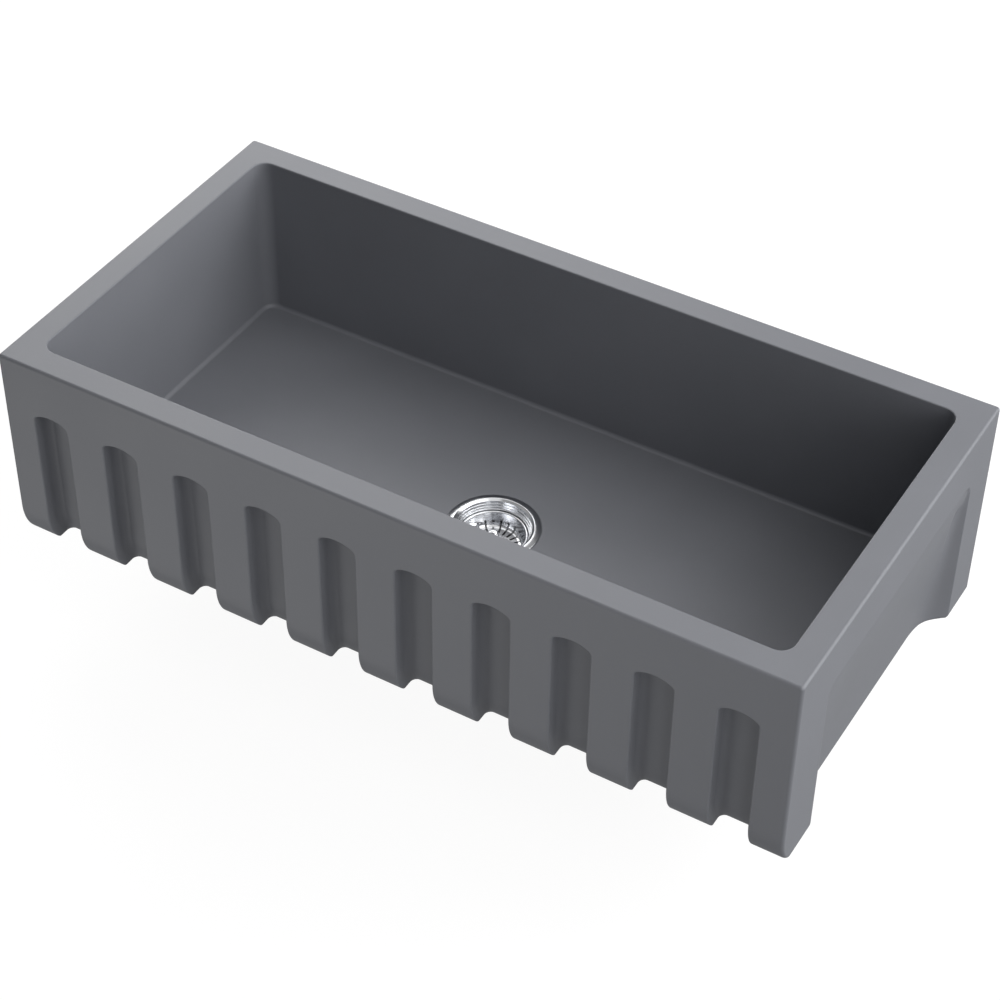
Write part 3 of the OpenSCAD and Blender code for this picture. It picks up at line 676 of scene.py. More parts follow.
# Rows and columns stand 2 mm apart where the recess's outline and its sweeps pass.
side_rows = np.concatenate([
    FOOT_ROWS, np.arange(50, 160, 5.0), np.arange(160, 199, 2.0), np.linspace(200, SHOULDER_Z, 6)])
side_columns = np.concatenate([
    np.linspace(CORNER - HALF_D, -172, 9)[:-1], np.arange(-172, -104, 2.0),
    np.linspace(-104, 116, 30)[:-1], np.arange(116, 184, 2.0),
    np.linspace(184, HALF_D - CORNER, 8)])
side = sheet(side_face, side_columns, side_rows)
deepest = HALF_W - side.points[..., 0].min()
print("side:", side.points.shape, "deepest", round(float(deepest), 1), "mm")

# %% Upright corners, end ribs and back
def front_corner(angle, z):
    """A quarter circle in plan, drawn in by the tuck of the side and the curl of the apron."""
    return (HALF_W - CORNER + CORNER * np.sin(angle) - tuck(z, UNDER_SIDE),
            -HALF_D + CORNER - CORNER * np.cos(angle) + curl(z), z)


def back_corner(angle, z):
    """A quarter circle in plan, drawn in by the tucks of the side and the back."""
    return (HALF_W - CORNER + CORNER * np.sin(angle) - tuck(z, UNDER_SIDE),
            HALF_D - CORNER + CORNER * np.cos(angle) - tuck(z, UNDER_BACK), z)


def end_rib(share, z):
    """A share of the way from the last flute to the corner. The foot falls from the other ribs'
    height to the leg's over the rib's first half."""
    inner = PITCH * FLUTES / 2
    z = from_foot(z, APRON_FOOT * np.clip(1 - 2 * share, 0, 1))
    return inner + (HALF_W - CORNER - tuck(z, UNDER_SIDE) - inner) * share, -HALF_D + curl(z), z


def back_face(share, z):
    """A share of the way from the middle to the corner, drawn in by the back's tuck."""
    return (HALF_W - CORNER - tuck(z, UNDER_SIDE)) * share, HALF_D - tuck(z, UNDER_BACK), z


quarter = np.linspace(0, np.pi / 2, 7)
corner_front = sheet(front_corner, quarter, side_rows)
corner_back = sheet(back_corner, quarter, side_rows, flip=True)
rib = sheet(end_rib, np.linspace(0, 1, 5), FOOT_ROWS)
back = sheet(back_face, np.linspace(0, 1, 13), side_rows, flip=True)
flute_side = np.concatenate([flute.points[:straight + FILLET_STEPS + 1, 0],
                             above.points[:1, -1]])
rib_left = flute_side[flute_side[:, 2] > CURL_HIGH - WELD] + [PITCH * (FLUTES - 1) / 2, 0, 0]
rib_right = corner_front.points[0][side_rows > CURL_HIGH - WELD]
rib_front = flat([np.concatenate([rib_left, rib_right[::-1], rib.points[-2:0:-1, -1]])],
                 (0, -1, 0))
print("end rib between", len(rib_left), "and", len(rib_right), "points")

# %% [markdown]
# ## Rim, bowl and hollow
# Rim, bowl and hollow are loops carried round the plan. The rim's outer rounding takes over the
# last row of points of the walls below it, with the normals they have there. The bowl's template
# goes over the inner edge, down the wall and round into the floor. The template of the hollow
# underneath runs from the ceiling down to the foot. Below the apron, the ribs' foot stands higher
# than the legs': a level sole runs back from it, and a slope leads down to the foot behind.

# %% The row of flutes, and the foot below it
flute_centres = [PITCH * (number - (FLUTES - 1) / 2) for number in range(FLUTES // 2, FLUTES)]
half_front = [moved(grid, (centre, 0, 0)) for centre in flute_centres
              for grid in (mirrored(flute), flute, mirrored(above), above)]


def along_front(edge, mirrored_edge):
    """The points of one row of all the flutes on the right, from the middle outwards."""
    one = np.concatenate([mirrored_edge, edge[::-1]])
    return np.concatenate([one + np.array([centre, 0, 0]) for centre in flute_centres])


def round_trip(half):
    """Closes a half loop, which runs from the middle of the front to the middle of the back."""
    return np.concatenate([half, half[::-1] * np.array([-1, 1, 1])])


DOWN = (0, 0, -1.0)


def under(points):
    """The level sole behind the foot's points, then the slope down from it to the leg's height.
    Both shrink to nothing as the foot comes down to that height."""
    share = points[:, 2] / APRON_FOOT
    x, y, z = points.T
    level = np.stack([x, y + (SOLE_DEEP - HALF_D - y) * share, z], -1)
    lowest = np.stack([x, y + (SLOPE_DEEP - HALF_D - y) * share, 0 * z], -1)
    rows = np.stack([points, level, lowest])
    return Grid(rows, np.broadcast_to(DOWN, rows.shape))


front_foot = along_front(flute.points[0], mirrored(flute).points[0])
front_under = under(front_foot[[0, -1]])
rib_under = under(rib.points[:, 0])
sole = flat([np.concatenate([front_foot, front_under.points[1, ::-1]])], DOWN)
slope = Grid(*(part[1:] for part in front_under))
print("foot of the apron:", len(front_foot), "points")


# %% The rim's path and its rounding
def round_sides(row):
    """That row of the walls' points, from the front corner round to the middle of the back."""
    return [corner_front.points[:, row], side.points[:, row], corner_back.points[::-1, row],
            back.points[::-1, row]]


foot_half = np.concatenate([front_under.points[2], rib_under.points[2, 1:]] + round_sides(0))
rim_half = np.concatenate(
    [along_front(above.points[:, -1], mirrored(above).points[:, -1])] + round_sides(-1))
bend = np.stack([np.sin(quarter), -np.cos(quarter)], -1)
rim_out = np.concatenate([
    np.tile([0.0, -1.0], ((ARCH_STEPS + 1) * FLUTES, 1)), bend,
    np.tile([1.0, 0.0], (len(side_columns), 1)), bend[::-1] * [1, -1],
    np.tile([0.0, 1.0], (len(back.points), 1))])
rim_path = Line(rim_half[:, :2], rim_out)
rim_edge = swept(rim_path, outline([(0, SHOULDER_Z, 0), (0, TOP, RIM_EDGE), (-RIM_EDGE, TOP, 0)]))
print("rim's edge:", rim_edge.points.shape)


# %% The bowl, and the hollow under it
def plan_box(x0, y0, x1, y1, radius):
    """A rectangle with round corners, anticlockwise."""
    return outline([(x0, y0, radius), (x1, y0, radius), (x1, y1, radius), (x0, y1, radius)],
                   closed=True, longest=40)


APRON_RIM = 1.5  # how much broader the rim is over the apron
bowl_x, bowl_y = HALF_W - RIM_W, HALF_D - RIM_W
bowl = swept(plan_box(-bowl_x, -bowl_y + APRON_RIM, bowl_x, bowl_y, BOWL_CORNER),
             outline([(RIM_INNER, TOP, 0), (0, TOP, RIM_INNER), (0, FLOOR, BOWL_FOOT),
                      (-BOWL_FOOT, FLOOR, 0)], longest=45))
hollow_x = HALF_W - LEAN - FOOT
hollow_y = (-HALF_D + FLUTE_DEEP + CURL_DEEP + FRONT_FOOT, HALF_D - FOOT)
hollow = swept(plan_box(-hollow_x, hollow_y[0], hollow_x, hollow_y[1], HOLLOW_CORNER),
               outline([(-HOLLOW_TOP, CEILING, 0), (0, CEILING, HOLLOW_TOP), (0, 0, UNDER_SIDE),
                        (UNDER_SIDE, 0, 0)]))
print("bowl:", bowl.points.shape, "hollow:", hollow.points.shape)

# %% [markdown]
# ## The drain's seat, and the whole body
# The floor drops a millimetre into a ring where the strainer's flange beds down, then the hole goes
# through. Flat faces are filled last, between loops that exist by now. The left half mirrors the
# right half's grids: a mirror modifier would do the same, but the bowl is one grid all round. The
# bare clay attribute is set from the finished faces: those that look down, low on the body.

# %% The drain's seat and the welded body
SEAT_R, SEAT_DEEP, HOLE_R, APRON_R = 52.3, 1, 44.5, 60
drain_seat = lathe([(APRON_R, FLOOR, 0), (SEAT_R, FLOOR, 0.6), (SEAT_R, FLOOR - SEAT_DEEP, 0),
                    (HOLE_R, FLOOR - SEAT_DEEP, 0.5), (HOLE_R, CEILING, 0.8),
                    (APRON_R, CEILING, 0)])
right_half = half_front + [sole, slope, rib_under, rib, rib_front, corner_front, side,
                           corner_back, back, rim_edge]
whole = []
for part in right_half:
    whole.append(part)
    if isinstance(part, Flat):
        whole.append(Flat(part.points * np.array([-1, 1, 1]), part.triangles, part.normal))
    else:
        whole.append(mirrored(part))
whole += [
    bowl, hollow, drain_seat,
    flat([round_trip(rim_edge.points[:, -1]), bowl.points[:-1, 0]], (0, 0, 1)),
    flat([bowl.points[:-1, -1], drain_seat.points[:-1, 0]], (0, 0, 1)),
    flat([hollow.points[:-1, 0], drain_seat.points[:-1, -1]], (0, 0, -1)),
    flat([round_trip(foot_half), hollow.points[:-1, -1]], (0, 0, -1)),
]
clay_body = weld("clay_body", whole)


# %% The bare clay
LOOKS_DOWN = -0.93  # a face whose normal's height is less looks down


def mark_bare_clay(piece, highest):
    """Sets the attribute bare_clay to 1 on the faces that look down, below that height."""
    mesh = piece.data
    middle = np.empty(len(mesh.polygons) * 3, np.float32)
    looks = np.empty(len(mesh.polygons) * 3, np.float32)
    mesh.polygons.foreach_get("center", middle)
    mesh.polygon_normals.foreach_get("vector", looks)
    bare = (looks[2::3] < LOOKS_DOWN) & (middle[2::3] < highest * MM)
    attribute = mesh.attributes.new("bare_clay", "FLOAT", "FACE")
    attribute.data.foreach_set("value", bare.astype(np.float32))
    print("bare faces:", bare.sum())


mark_bare_clay(clay_body, CEILING + 1)

# %% [markdown]
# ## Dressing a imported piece
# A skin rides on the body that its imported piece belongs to, stands for that piece, and takes the
# finish of its material slot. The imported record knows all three, so one function does it for every
# piece, and the names are written nowhere twice.

# %% Giving a piece its body, its slot and its finish
RECORD = frame["record"]
BODY_OF = {node: body for body, nodes in RECORD["behaviour"]["bodies"].items()
           for node in nodes}
SLOT_OF = {part["node"]: part["material_slot"] for part in RECORD["subparts"]}
LOOKS = {"glazed_clay": clay, "polished_steel": polished, "brushed_steel": brushed,
         "chrome_plate": chrome, "brass": brass, "rubber": rubber, "fibre": fibre}


def dress(node, parts):
    """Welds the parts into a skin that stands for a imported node, on that node's body."""
    piece = parts if isinstance(parts, bpy.types.Object) else weld(node + "_skin", parts)
    piece.data.materials.append(LOOKS[SLOT_OF[node]])
    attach(piece, BODY_OF[node])
    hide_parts(node)
    return piece


dress("basin", clay_body)
print("the clay body rides on", BODY_OF["basin"])

# %% [markdown]
# ## The strainer: sizes and threads
# Every piece under the drain is turned about one axis. Its outer radius and its two heights come
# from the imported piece, and only inner sizes are named here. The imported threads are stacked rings,
# which check well but do not screw together. A Screw modifier could wind a thread's outline up, but
# its ends would stop dead. Here each thread is a formula: its lines climb by one pitch in each
# turn, and it dies out at both ends.

# %% Threads and spans
THREAD_PITCH, THREAD_DEEP, THREAD_GAP = 2.1, 0.7, 0.15


def span(node):
    """A turned piece's outer radius, and its lowest and highest heights."""
    low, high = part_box(node)
    return high.y / MM, low.z / MM, high.z / MM


def thread(z0, z1, base, other, pitch, inside=False, count=AROUND):
    """The height is z0 plus the pitch times the turns made so far, kept between the ends. The
    radius swings from the base to the other radius as a cosine of the row, and back to the base
    within one pitch of either end."""
    def helix(angle, row):
        """The point at that angle, on that row of the climb."""
        z = np.clip(z0 + pitch * (row + angle / (2 * np.pi)), z0, z1)
        fade = np.clip(np.minimum(z - z0, z1 - z) / pitch, 0, 1)
        radius = base + (other - base) * fade * (0.5 - 0.5 * np.cos(2 * np.pi * row))
        return radius * np.cos(angle), radius * np.sin(angle), z

    rows = np.arange(-8, 8 * np.ceil((z1 - z0) / pitch) + 1) / 8
    return sheet(helix, np.linspace(0, 2 * np.pi, count + 1), rows, flip=inside)


def ring(inner, outer, z0, z1, edge):
    """A flat ring with rounded edges: a rectangle of radius and height, carried round."""
    return lathe([(inner, z0, edge), (outer, z0, edge), (outer, z1, edge), (inner, z1, edge)],
                 closed=True)


def ring_skin(node, inner, edge):
    """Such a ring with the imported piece's outer radius, between its heights."""
    outer, z0, z1 = span(node)
    return dress(node, [ring(inner, outer, z0, z1, edge)])


print("strainer spans", [round(size, 2) for size in span("strainer_body")])

# %% [markdown]
# ## The strainer's body
# This is one turned piece: a domed flange that shows in the sink's floor, a funnel in three steps,
# the cup, a sloping seat for the stopper, and the outlet. Its outline is drawn once round, as it
# would be for a lathe, with the solid on its left, and cut in two where the threads go. The flange
# has the broadest arc, because its highlight is what the eye finds first.

# %% The strainer's body
flange_r, outlet_z, crest_z = span("strainer_body")
FLANGE_Z, SHANK_R, CUP_R, CUP_THREAD, OUTLET_THREAD = 50.8, 43.2, 38.4, 41.0, 24.1
THROAT_R, SEAT_TOP, SEAT_FOOT, BODY_FOOT, STEP_Z, STEP_R = 21.5, 19, 13.5, 10.3, 2, 20.1
CREST_OUT, CREST_ROUND, CREST_IN = 47.2, 11.8, 44.6
FUNNEL_R, FUNNEL_IN, FUNNEL_DROP = 41.6, 1.2, 2.93
THREAD_TOP, SHANK_FOOT = 38, 39
cup_root, outlet_root = CUP_THREAD - THREAD_DEEP, OUTLET_THREAD - THREAD_DEEP
funnel = [(42, FLANGE_Z, 0.5)]
for number in range(3):
    step_z = FLANGE_Z - FUNNEL_DROP * (number + 1)
    funnel += [(FUNNEL_R - FUNNEL_IN * number, step_z, 0.3),
               (FUNNEL_R - 0.8 - FUNNEL_IN * number, step_z, 0.35)]
dress("strainer_body", [
    thread(outlet_z, BODY_FOOT - 1, outlet_root, OUTLET_THREAD, THREAD_PITCH),
    lathe([(outlet_root, BODY_FOOT - 1, 0), (outlet_root, BODY_FOOT, 1), (39.1, BODY_FOOT, 0.4),
           (cup_root, BODY_FOOT + 1.2, 0)]),
    thread(BODY_FOOT + 1.2, THREAD_TOP, cup_root, CUP_THREAD, THREAD_PITCH),
    lathe([(cup_root, THREAD_TOP, 0), (cup_root, SHANK_FOOT, 0.4), (SHANK_R, SHANK_FOOT, 0.5),
           (SHANK_R, FLANGE_Z, 0.4), (flange_r, FLANGE_Z, 0.3), (flange_r, FLANGE_Z + 0.7, 0.5),
           (CREST_OUT, crest_z, CREST_ROUND), (CREST_IN, crest_z, 1.2)] + funnel + [
           (CUP_R, SEAT_TOP, 7), (30.4, SEAT_TOP, 2), (THROAT_R, SEAT_FOOT, 1),
           (THROAT_R, STEP_Z, 0.3), (STEP_R, STEP_Z, 0.3), (STEP_R, outlet_z, 0.4),
           (outlet_root, outlet_z, 0)], turn=9),
])

# %% [markdown]
# ## The cross in the outlet
# A cast cross stands in the outlet and holds a socket for the basket's post. Its ring and its
# socket are turned, and each arm is a bar with rounded edges whose ends are buried in them. The
# real cross is one casting, but it rests out of sight, so its arms aren't blended into the ring.

# %% The cross
def bar(x0, x1, half_width, z0, z1, edge):
    """A straight bar along X with rounded edges, made of its wall and its two flat sides."""
    wall = swept(plan_box(x0, -half_width, x1, half_width, edge),
                 outline([(-edge, z0, 0), (0, z0, edge), (0, z1, edge), (-edge, z1, 0)]))
    return [wall, flat([wall.points[:-1, 0]], (0, 0, -1)), flat([wall.points[:-1, -1]], (0, 0, 1))]


FEW_AROUND = 48  # steps of a small turned piece
cross_ring = ring(19.2, 21.4, 2, 5, 0.3)
socket = lathe([(4, 0, 0.3), (6.2, 0, 0.4), (6.2, 11, 0.4), (4, 11, 0.5)], closed=True,
               count=FEW_AROUND)
arms = []
for quarter_turn in range(4):
    for part in bar(5.2, 20.2, 1.5, 2, 5, 0.5):
        if isinstance(part, Flat):
            spun = turned(Grid(part.points, part.points), quarter_turn * np.pi / 2)
            arms.append(Flat(spun.points, part.triangles, part.normal))
        else:
            arms.append(turned(part, quarter_turn * np.pi / 2))
dress("outlet_cross", [cross_ring, socket] + arms)

# %% [markdown]
# ## Nuts with lugs, and the rings they clamp
# Seen from above, a nut with lugs is a circle with bars standing out of it, each bar blended into
# the circle by a hollow fillet. The fillet touches both the circle and the lug's side, which fixes
# where it starts, so the whole plan is an outline again: a corner with the nut's own radius gives
# the round part. Joining bars to a disc by booleans would leave the fillets to be guessed. Each
# nut's thread is cut into its bore.

# %% Lugged nuts
def lugged(radius, tip, width, count, base, corner):
    """The closed plan of a round nut with lugs, anticlockwise from a lug's first side."""
    half, start = width / 2, np.arcsin((width / 2 + base) / (radius + base))
    slide = (radius * np.sin(start) - half) / np.cos(start)
    foot = radius * np.cos(start) + slide * np.sin(start)
    middle = np.pi / count
    reach = radius / np.cos(middle - start)
    one = np.array([(foot, -half, base), (tip, -half, corner), (tip, half, corner),
                    (foot, half, base), (reach * np.cos(middle), reach * np.sin(middle), radius)])
    corners = [one @ spin(2 * middle * number) for number in range(count)]
    return outline(np.concatenate(corners), closed=True, turn=5)


def nut(path, z0, z1, edge, bore_top, bore_foot):
    """A nut's wall with rounded edges, and flat faces out to it from its bore's two rims."""
    wall = swept(path, outline([(-edge, z0, 0), (0, z0, edge), (0, z1, edge), (-edge, z1, 0)]))
    return [wall, flat([wall.points[:-1, -1], bore_top], (0, 0, 1)),
            flat([wall.points[:-1, 0], bore_foot], (0, 0, -1))]


def inner_thread(z0, z1, bore):
    """The thread cut into a bore between two heights."""
    return thread(z0, z1, bore, bore + THREAD_DEEP, THREAD_PITCH, inside=True)


def upper_mouth(bore, top, cone):
    """The cone that opens a bore at its top."""
    return lathe([(bore + cone, top, 0), (bore, top - cone, 0), (bore, top - 1, 0)])


print("ready for nuts with", THREAD_PITCH, "mm of pitch")

# %% The locknut and the coupling nut
lock_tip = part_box("locknut")[1].x / MM
_, lock_foot, lock_top = span("locknut")
lock_bore = CUP_THREAD + THREAD_GAP
lock_mouth = upper_mouth(lock_bore, lock_top, 0.8)
lower_mouth = lathe([(lock_bore, lock_foot + 1, 0), (lock_bore, lock_foot + 0.8, 0),
                     (lock_bore + 0.8, lock_foot, 0)])
lock_plan = lugged(lock_tip - 5.5, lock_tip, width=11, count=6, base=3, corner=2)
dress("locknut", nut(lock_plan, lock_foot, lock_top, 0.9,
                     lock_mouth.points[:-1, 0], lower_mouth.points[:-1, -1]) + [
    lock_mouth, lower_mouth, inner_thread(lock_foot + 1, lock_top - 1, lock_bore)])

nut_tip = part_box("coupling_nut")[1].x / MM
_, nut_foot, nut_top = span("coupling_nut")
nut_bore, lip_bore, lip_z = OUTLET_THREAD + THREAD_GAP, 19.45, nut_foot + 3
nut_mouth = upper_mouth(nut_bore, nut_top, 0.7)
lip = lathe([(nut_bore, lip_z + 1, 0), (nut_bore, lip_z, 0), (lip_bore, lip_z, 0.4),
             (lip_bore, nut_foot, 0.5), (lip_bore + 0.6, nut_foot, 0)])
nut_plan = lugged(nut_tip - 1.8, nut_tip, width=5, count=8, base=0.9, corner=0.8)
dress("coupling_nut", nut(nut_plan, nut_foot, nut_top, 0.6,
                          nut_mouth.points[:-1, 0], lip.points[:-1, -1]) + [
    nut_mouth, lip, inner_thread(lip_z + 1, nut_top - 1, nut_bore)])

# %% Gaskets, washers and the tailpiece
ring_skin("flange_gasket", 45.0, 0.25)
ring_skin("rubber_washer", 41.15, 0.6)
ring_skin("friction_ring", 41.15, 0.2)
ring_skin("tailpiece_washer", STEP_R, 0.4)
tail_flange, tail_foot, tail_top = span("tailpiece")
TAIL_R, TAIL_WALL = 19.05, 0.9
TAIL_SWELL = 0.15  # how far the tube widens under its flange
dress("tailpiece", [lathe([
    (TAIL_R - TAIL_WALL, tail_foot, 0.2), (TAIL_R, tail_foot, 0.3), (TAIL_R, nut_foot - 1, 4),
    (TAIL_R + TAIL_SWELL, lip_z, 0.6), (tail_flange, lip_z, 0.4), (tail_flange, tail_top, 0.4),
    (TAIL_R - TAIL_WALL, tail_top, 0.8)], closed=True)])

# %% [markdown]
# ## The basket
# The basket is pressed from one sheet of steel: a flat bottom, a wall that widens upwards and a rim
# curled outwards. Its middle surface is one line carried round the axis, and the two faces lie half
# a sheet away on either side. Cutting the slots with booleans would leave long thin triangles that
# glint wrongly, so the slots divide the sheet into ribs instead. A rib's edge follows a slot, whose
# half width shrinks to nothing at its round ends, so each rib is a grid between two such edges.

# %% The basket's middle line
basket_r, basket_foot, basket_top = span("basket_cup")
SHEET, CURL, SLOTS, SLOT_HALF = 0.9, 0.85, 24, 1.1
POST_HOLE, BOTTOM_R, BOTTOM_ROUND = 3.1, 33.1, 6.4
SLOT_INNER_R, SLOT_TOP_Z = 20.4, 31.0
mid_z, curl_out = basket_foot + SHEET / 2, basket_r - SHEET / 2
curl_top = basket_top - SHEET / 2
sheet_line = outline([
    (POST_HOLE, mid_z, 0), (BOTTOM_R, mid_z, BOTTOM_ROUND), (curl_out - 2 * CURL, curl_top, CURL),
    (curl_out, curl_top, CURL), (curl_out, curl_top - 2 * CURL, CURL),
    (curl_out - CURL - 0.2, curl_top - 2 * CURL, 0)], turn=20)
steps = np.linalg.norm(np.diff(sheet_line.points, axis=0), axis=1)
length = np.concatenate([[0], np.cumsum(steps)])


def along(line, stations, where):
    """The line's points and normals at the given lengths along it."""
    points, normals = (np.stack([np.interp(where, stations, part[:, k]) for k in (0, 1)], -1)
                       for part in line)
    return Line(points, normals / np.linalg.norm(normals, axis=1, keepdims=True))


print("the sheet's line is", round(length[-1], 1), "mm long")

# %% Rows along the sheet, and the slots' width at each
fine = np.linspace(0, length[-1], 2000)
fine_line = along(sheet_line, length, fine)
slot_start = np.interp(SLOT_INNER_R, fine_line.points[:, 0], fine)
climbing = (fine_line.points[:, 1] > mid_z + 0.01) & (fine_line.points[:, 0] < basket_r - 1.9)
slot_end = np.interp(SLOT_TOP_Z, fine_line.points[climbing, 1], fine[climbing])
taper = SLOT_HALF * (1 - np.cos(np.linspace(0, np.pi / 2, 6)))
slot_rows = np.concatenate([slot_start + taper, slot_end - taper])
inner_rows = length[(length > slot_start + SLOT_HALF) & (length < slot_end - SLOT_HALF)]
between = np.linspace(8, 60, 14)
rows = np.unique(np.round(np.concatenate([length, slot_rows, inner_rows, between]), 6))
rows = rows[rows <= length[-1] + 1e-6]
core = along(sheet_line, length, rows)
in_slot = (rows > slot_start - 1e-6) & (rows < slot_end + 1e-6)
end_gap = np.clip(np.minimum(rows - slot_start, slot_end - rows), 0, SLOT_HALF)
slot_half = np.sqrt(np.clip(SLOT_HALF ** 2 - (SLOT_HALF - end_gap) ** 2, 0, None)) * in_slot
rib_half = np.pi / SLOTS - np.arcsin(slot_half / core.points[:, 0])
print("slots run from", round(slot_start, 2), "to", round(slot_end, 2), "mm along the sheet")


# %% The basket's ribs
def rib_face(centre, side):
    """One face of a rib: its middle line moved half a sheet to a side, swung across the rib."""
    line = core.points + side * SHEET / 2 * core.normals
    angle = centre + rib_half[:, None] * np.linspace(-1, 1, AROUND // SLOTS + 1)
    swing = np.stack([np.cos(angle), np.sin(angle)], -1)

    def swung(part):
        """Radius and height, carried to each angle."""
        height = np.broadcast_to(part[:, None, 1:], angle.shape + (1,))
        return np.concatenate([part[:, None, :1] * swing, height], -1)

    return Grid(swung(line), swung(side * core.normals))


def slot_wall(outer, inner, edge):
    """The cut edge of the sheet along one side of a slot, which joins the two faces' edges."""
    points = np.stack([outer.points[in_slot, edge], inner.points[in_slot, edge]], 1)
    run = np.gradient(points[:, 0], axis=0)
    normals = np.cross(run, points[:, 1] - points[:, 0]) * (-1 if edge else 1)
    normals /= np.maximum(np.linalg.norm(normals, axis=1, keepdims=True), 1e-9)
    return Grid(points, np.repeat(normals[:, None], 2, axis=1))


ribs = []
for number in range(SLOTS):
    centre = 2 * np.pi * (number + 0.5) / SLOTS
    outer, inner = rib_face(centre, 1), rib_face(centre, -1)
    ribs += [outer, inner, slot_wall(outer, inner, 0), slot_wall(outer, inner, -1)]
    for end, way in ((0, -1), (-1, 1)):
        rim = np.stack([outer.points[end], inner.points[end]])
        ends = np.cross(outer.normals[end], np.gradient(outer.points[end], axis=0)) * way
        ends /= np.linalg.norm(ends, axis=1, keepdims=True)
        ribs.append(Grid(rim, np.broadcast_to(ends, rim.shape)))
dress("basket_cup", ribs)

# %% [markdown]
# ## The basket's post and stopper
# The post runs from the knob down through the basket, a steel plate and the rubber stopper, and a
# small nut clamps them. Below the nut a split spring clip grips the socket when the basket is
# pushed down. All but the nut and the clip are turned. The nut's corners are cut back by a cone, as
# on a real nut: a side's height falls away with the distance from the axis.

# %% Post, knob, washer and stopper
_, post_foot, post_top = span("basket_post")
POST_R, POST_GROOVE, NUT_THREAD = 3, 2.65, (11.5, 17.3)
COLLAR_R, COLLAR = 4.8, (24.6, 26.6)
KNOB_AROUND = 72  # steps of the knob and the domed washer
dress("basket_post", [
    lathe([(0, post_foot, 0), (3.6, post_foot, 0.3), (3.6, post_foot + 1, 0.2),
           (POST_R, post_foot + 1, 0.1), (POST_R, NUT_THREAD[0], 0)], count=FEW_AROUND),
    thread(*NUT_THREAD, POST_R, POST_GROOVE, 0.8, count=FEW_AROUND),
    lathe([(POST_R, NUT_THREAD[1], 0), (POST_R, COLLAR[0], 0), (COLLAR_R, COLLAR[0], 0.2),
           (COLLAR_R, COLLAR[1], 0.4), (POST_R, COLLAR[1], 0.3), (POST_R, post_top, 0.4),
           (0, post_top, 0)], count=FEW_AROUND)])
_, knob_foot, knob_top = span("basket_knob")
KNOB_BORE, KNOB_BORE_TOP, KNOB_NECK, KNOB_R = 3.05, 38.5, 4.2, 6.5
dress("basket_knob", [lathe([
    (0, KNOB_BORE_TOP, 0), (KNOB_BORE, KNOB_BORE_TOP, 0.2), (KNOB_BORE, knob_foot, 0.2),
    (KNOB_NECK, knob_foot, 0.4), (KNOB_NECK, knob_foot + 2.5, 1), (KNOB_R, knob_foot + 5.5, 0.8),
    (KNOB_R, knob_top, 2.2), (3.2, knob_top, 1), (0, knob_top - 0.35, 0)], count=KNOB_AROUND)])
dome_r, dome_foot, dome_top = span("basket_dome_washer")
dress("basket_dome_washer", [lathe([
    (POST_HOLE, dome_foot, 0), (dome_r, dome_foot, 0.1), (dome_r, dome_foot + 0.5, 0.25),
    (4.9, dome_top, 0.8), (POST_HOLE, dome_top, 0)], closed=True, count=KNOB_AROUND)])
ring_skin("stopper_plate", POST_HOLE, 0.25)
lip_r, seal_foot, seal_top = span("stopper_seal")
SEAL_FOOT_R, SEAL_TOP_R, SEAL_LIP = 27.08, 21, (18.8, 19.6)
dress("stopper_seal", [lathe([
    (POST_HOLE, seal_foot, 0.2), (SEAL_FOOT_R, seal_foot, 0.5), (lip_r, SEAL_LIP[0], 0.25),
    (lip_r, SEAL_LIP[1], 0.4), (SEAL_TOP_R, seal_top, 0.5), (POST_HOLE, seal_top, 0.1)],
    closed=True)])

# %% The post's nut
_, hex_foot, hex_top = span("post_nut")
HEX_HALF, BEVEL = 4.5, np.tan(np.radians(30))
HEX_FACE_R = HEX_HALF * 0.98  # where the bevel's cone meets the flat face


def hex_part(number, top):
    """A side's upright face and its bevel, on one half of the nut's height. A side lies at half
    the nut's width over the cosine of the angle from its middle, and the cone rises or falls
    with the distance from the axis."""
    z_mid = (hex_foot + hex_top) / 2
    z_end, way = (hex_top, -1) if top else (hex_foot, 1)

    def cone(radius):
        """The height of the cone at that distance from the axis."""
        return z_end + way * (radius - HEX_FACE_R) * BEVEL

    def upright(angle, v):
        """From the cone, v = 0, to the middle of the nut's height, v = 1."""
        reach, turn_by = HEX_HALF / np.cos(angle), angle + number * np.pi / 3
        z = cone(reach)
        return reach * np.cos(turn_by), reach * np.sin(turn_by), z + (z_mid - z) * v

    def bevel(angle, v):
        """Along the cone, from the flat face, v = 0, to the side, v = 1."""
        reach, turn_by = HEX_HALF / np.cos(angle), angle + number * np.pi / 3
        radius = HEX_FACE_R + (reach - HEX_FACE_R) * v
        return radius * np.cos(turn_by), radius * np.sin(turn_by), cone(radius)

    sixth, unit = np.linspace(-np.pi / 6, np.pi / 6, 9), np.linspace(0, 1, 3)
    return [sheet(upright, sixth, unit, flip=top), sheet(bevel, sixth, unit, flip=top)]


hex_face = lathe([(HEX_FACE_R, hex_top, 0), (POST_HOLE, hex_top, 0.3),
                  (POST_HOLE, hex_foot, 0.3), (HEX_FACE_R, hex_foot, 0)], count=FEW_AROUND)
dress("post_nut", [part for number in range(6) for top in (True, False)
                   for part in hex_part(number, top)] + [hex_face])

# %% The split clip
_, clip_foot, clip_top = span("post_clip")
CLIP_IN, CLIP_OUT, CLIP_HALF_GAP = 3.05, 3.65, 0.8


def clip_arc(radius, way):
    """A circle's arc from one side of the gap round to the other: the gap's half angle has the
    sine of half the gap over the radius."""
    start = np.arcsin(CLIP_HALF_GAP / radius)
    angle = np.linspace(start, 2 * np.pi - start, FEW_AROUND + 1)[::way]
    outwards = np.stack([np.cos(angle), np.sin(angle)], -1)
    return Line(radius * outwards, way * outwards)


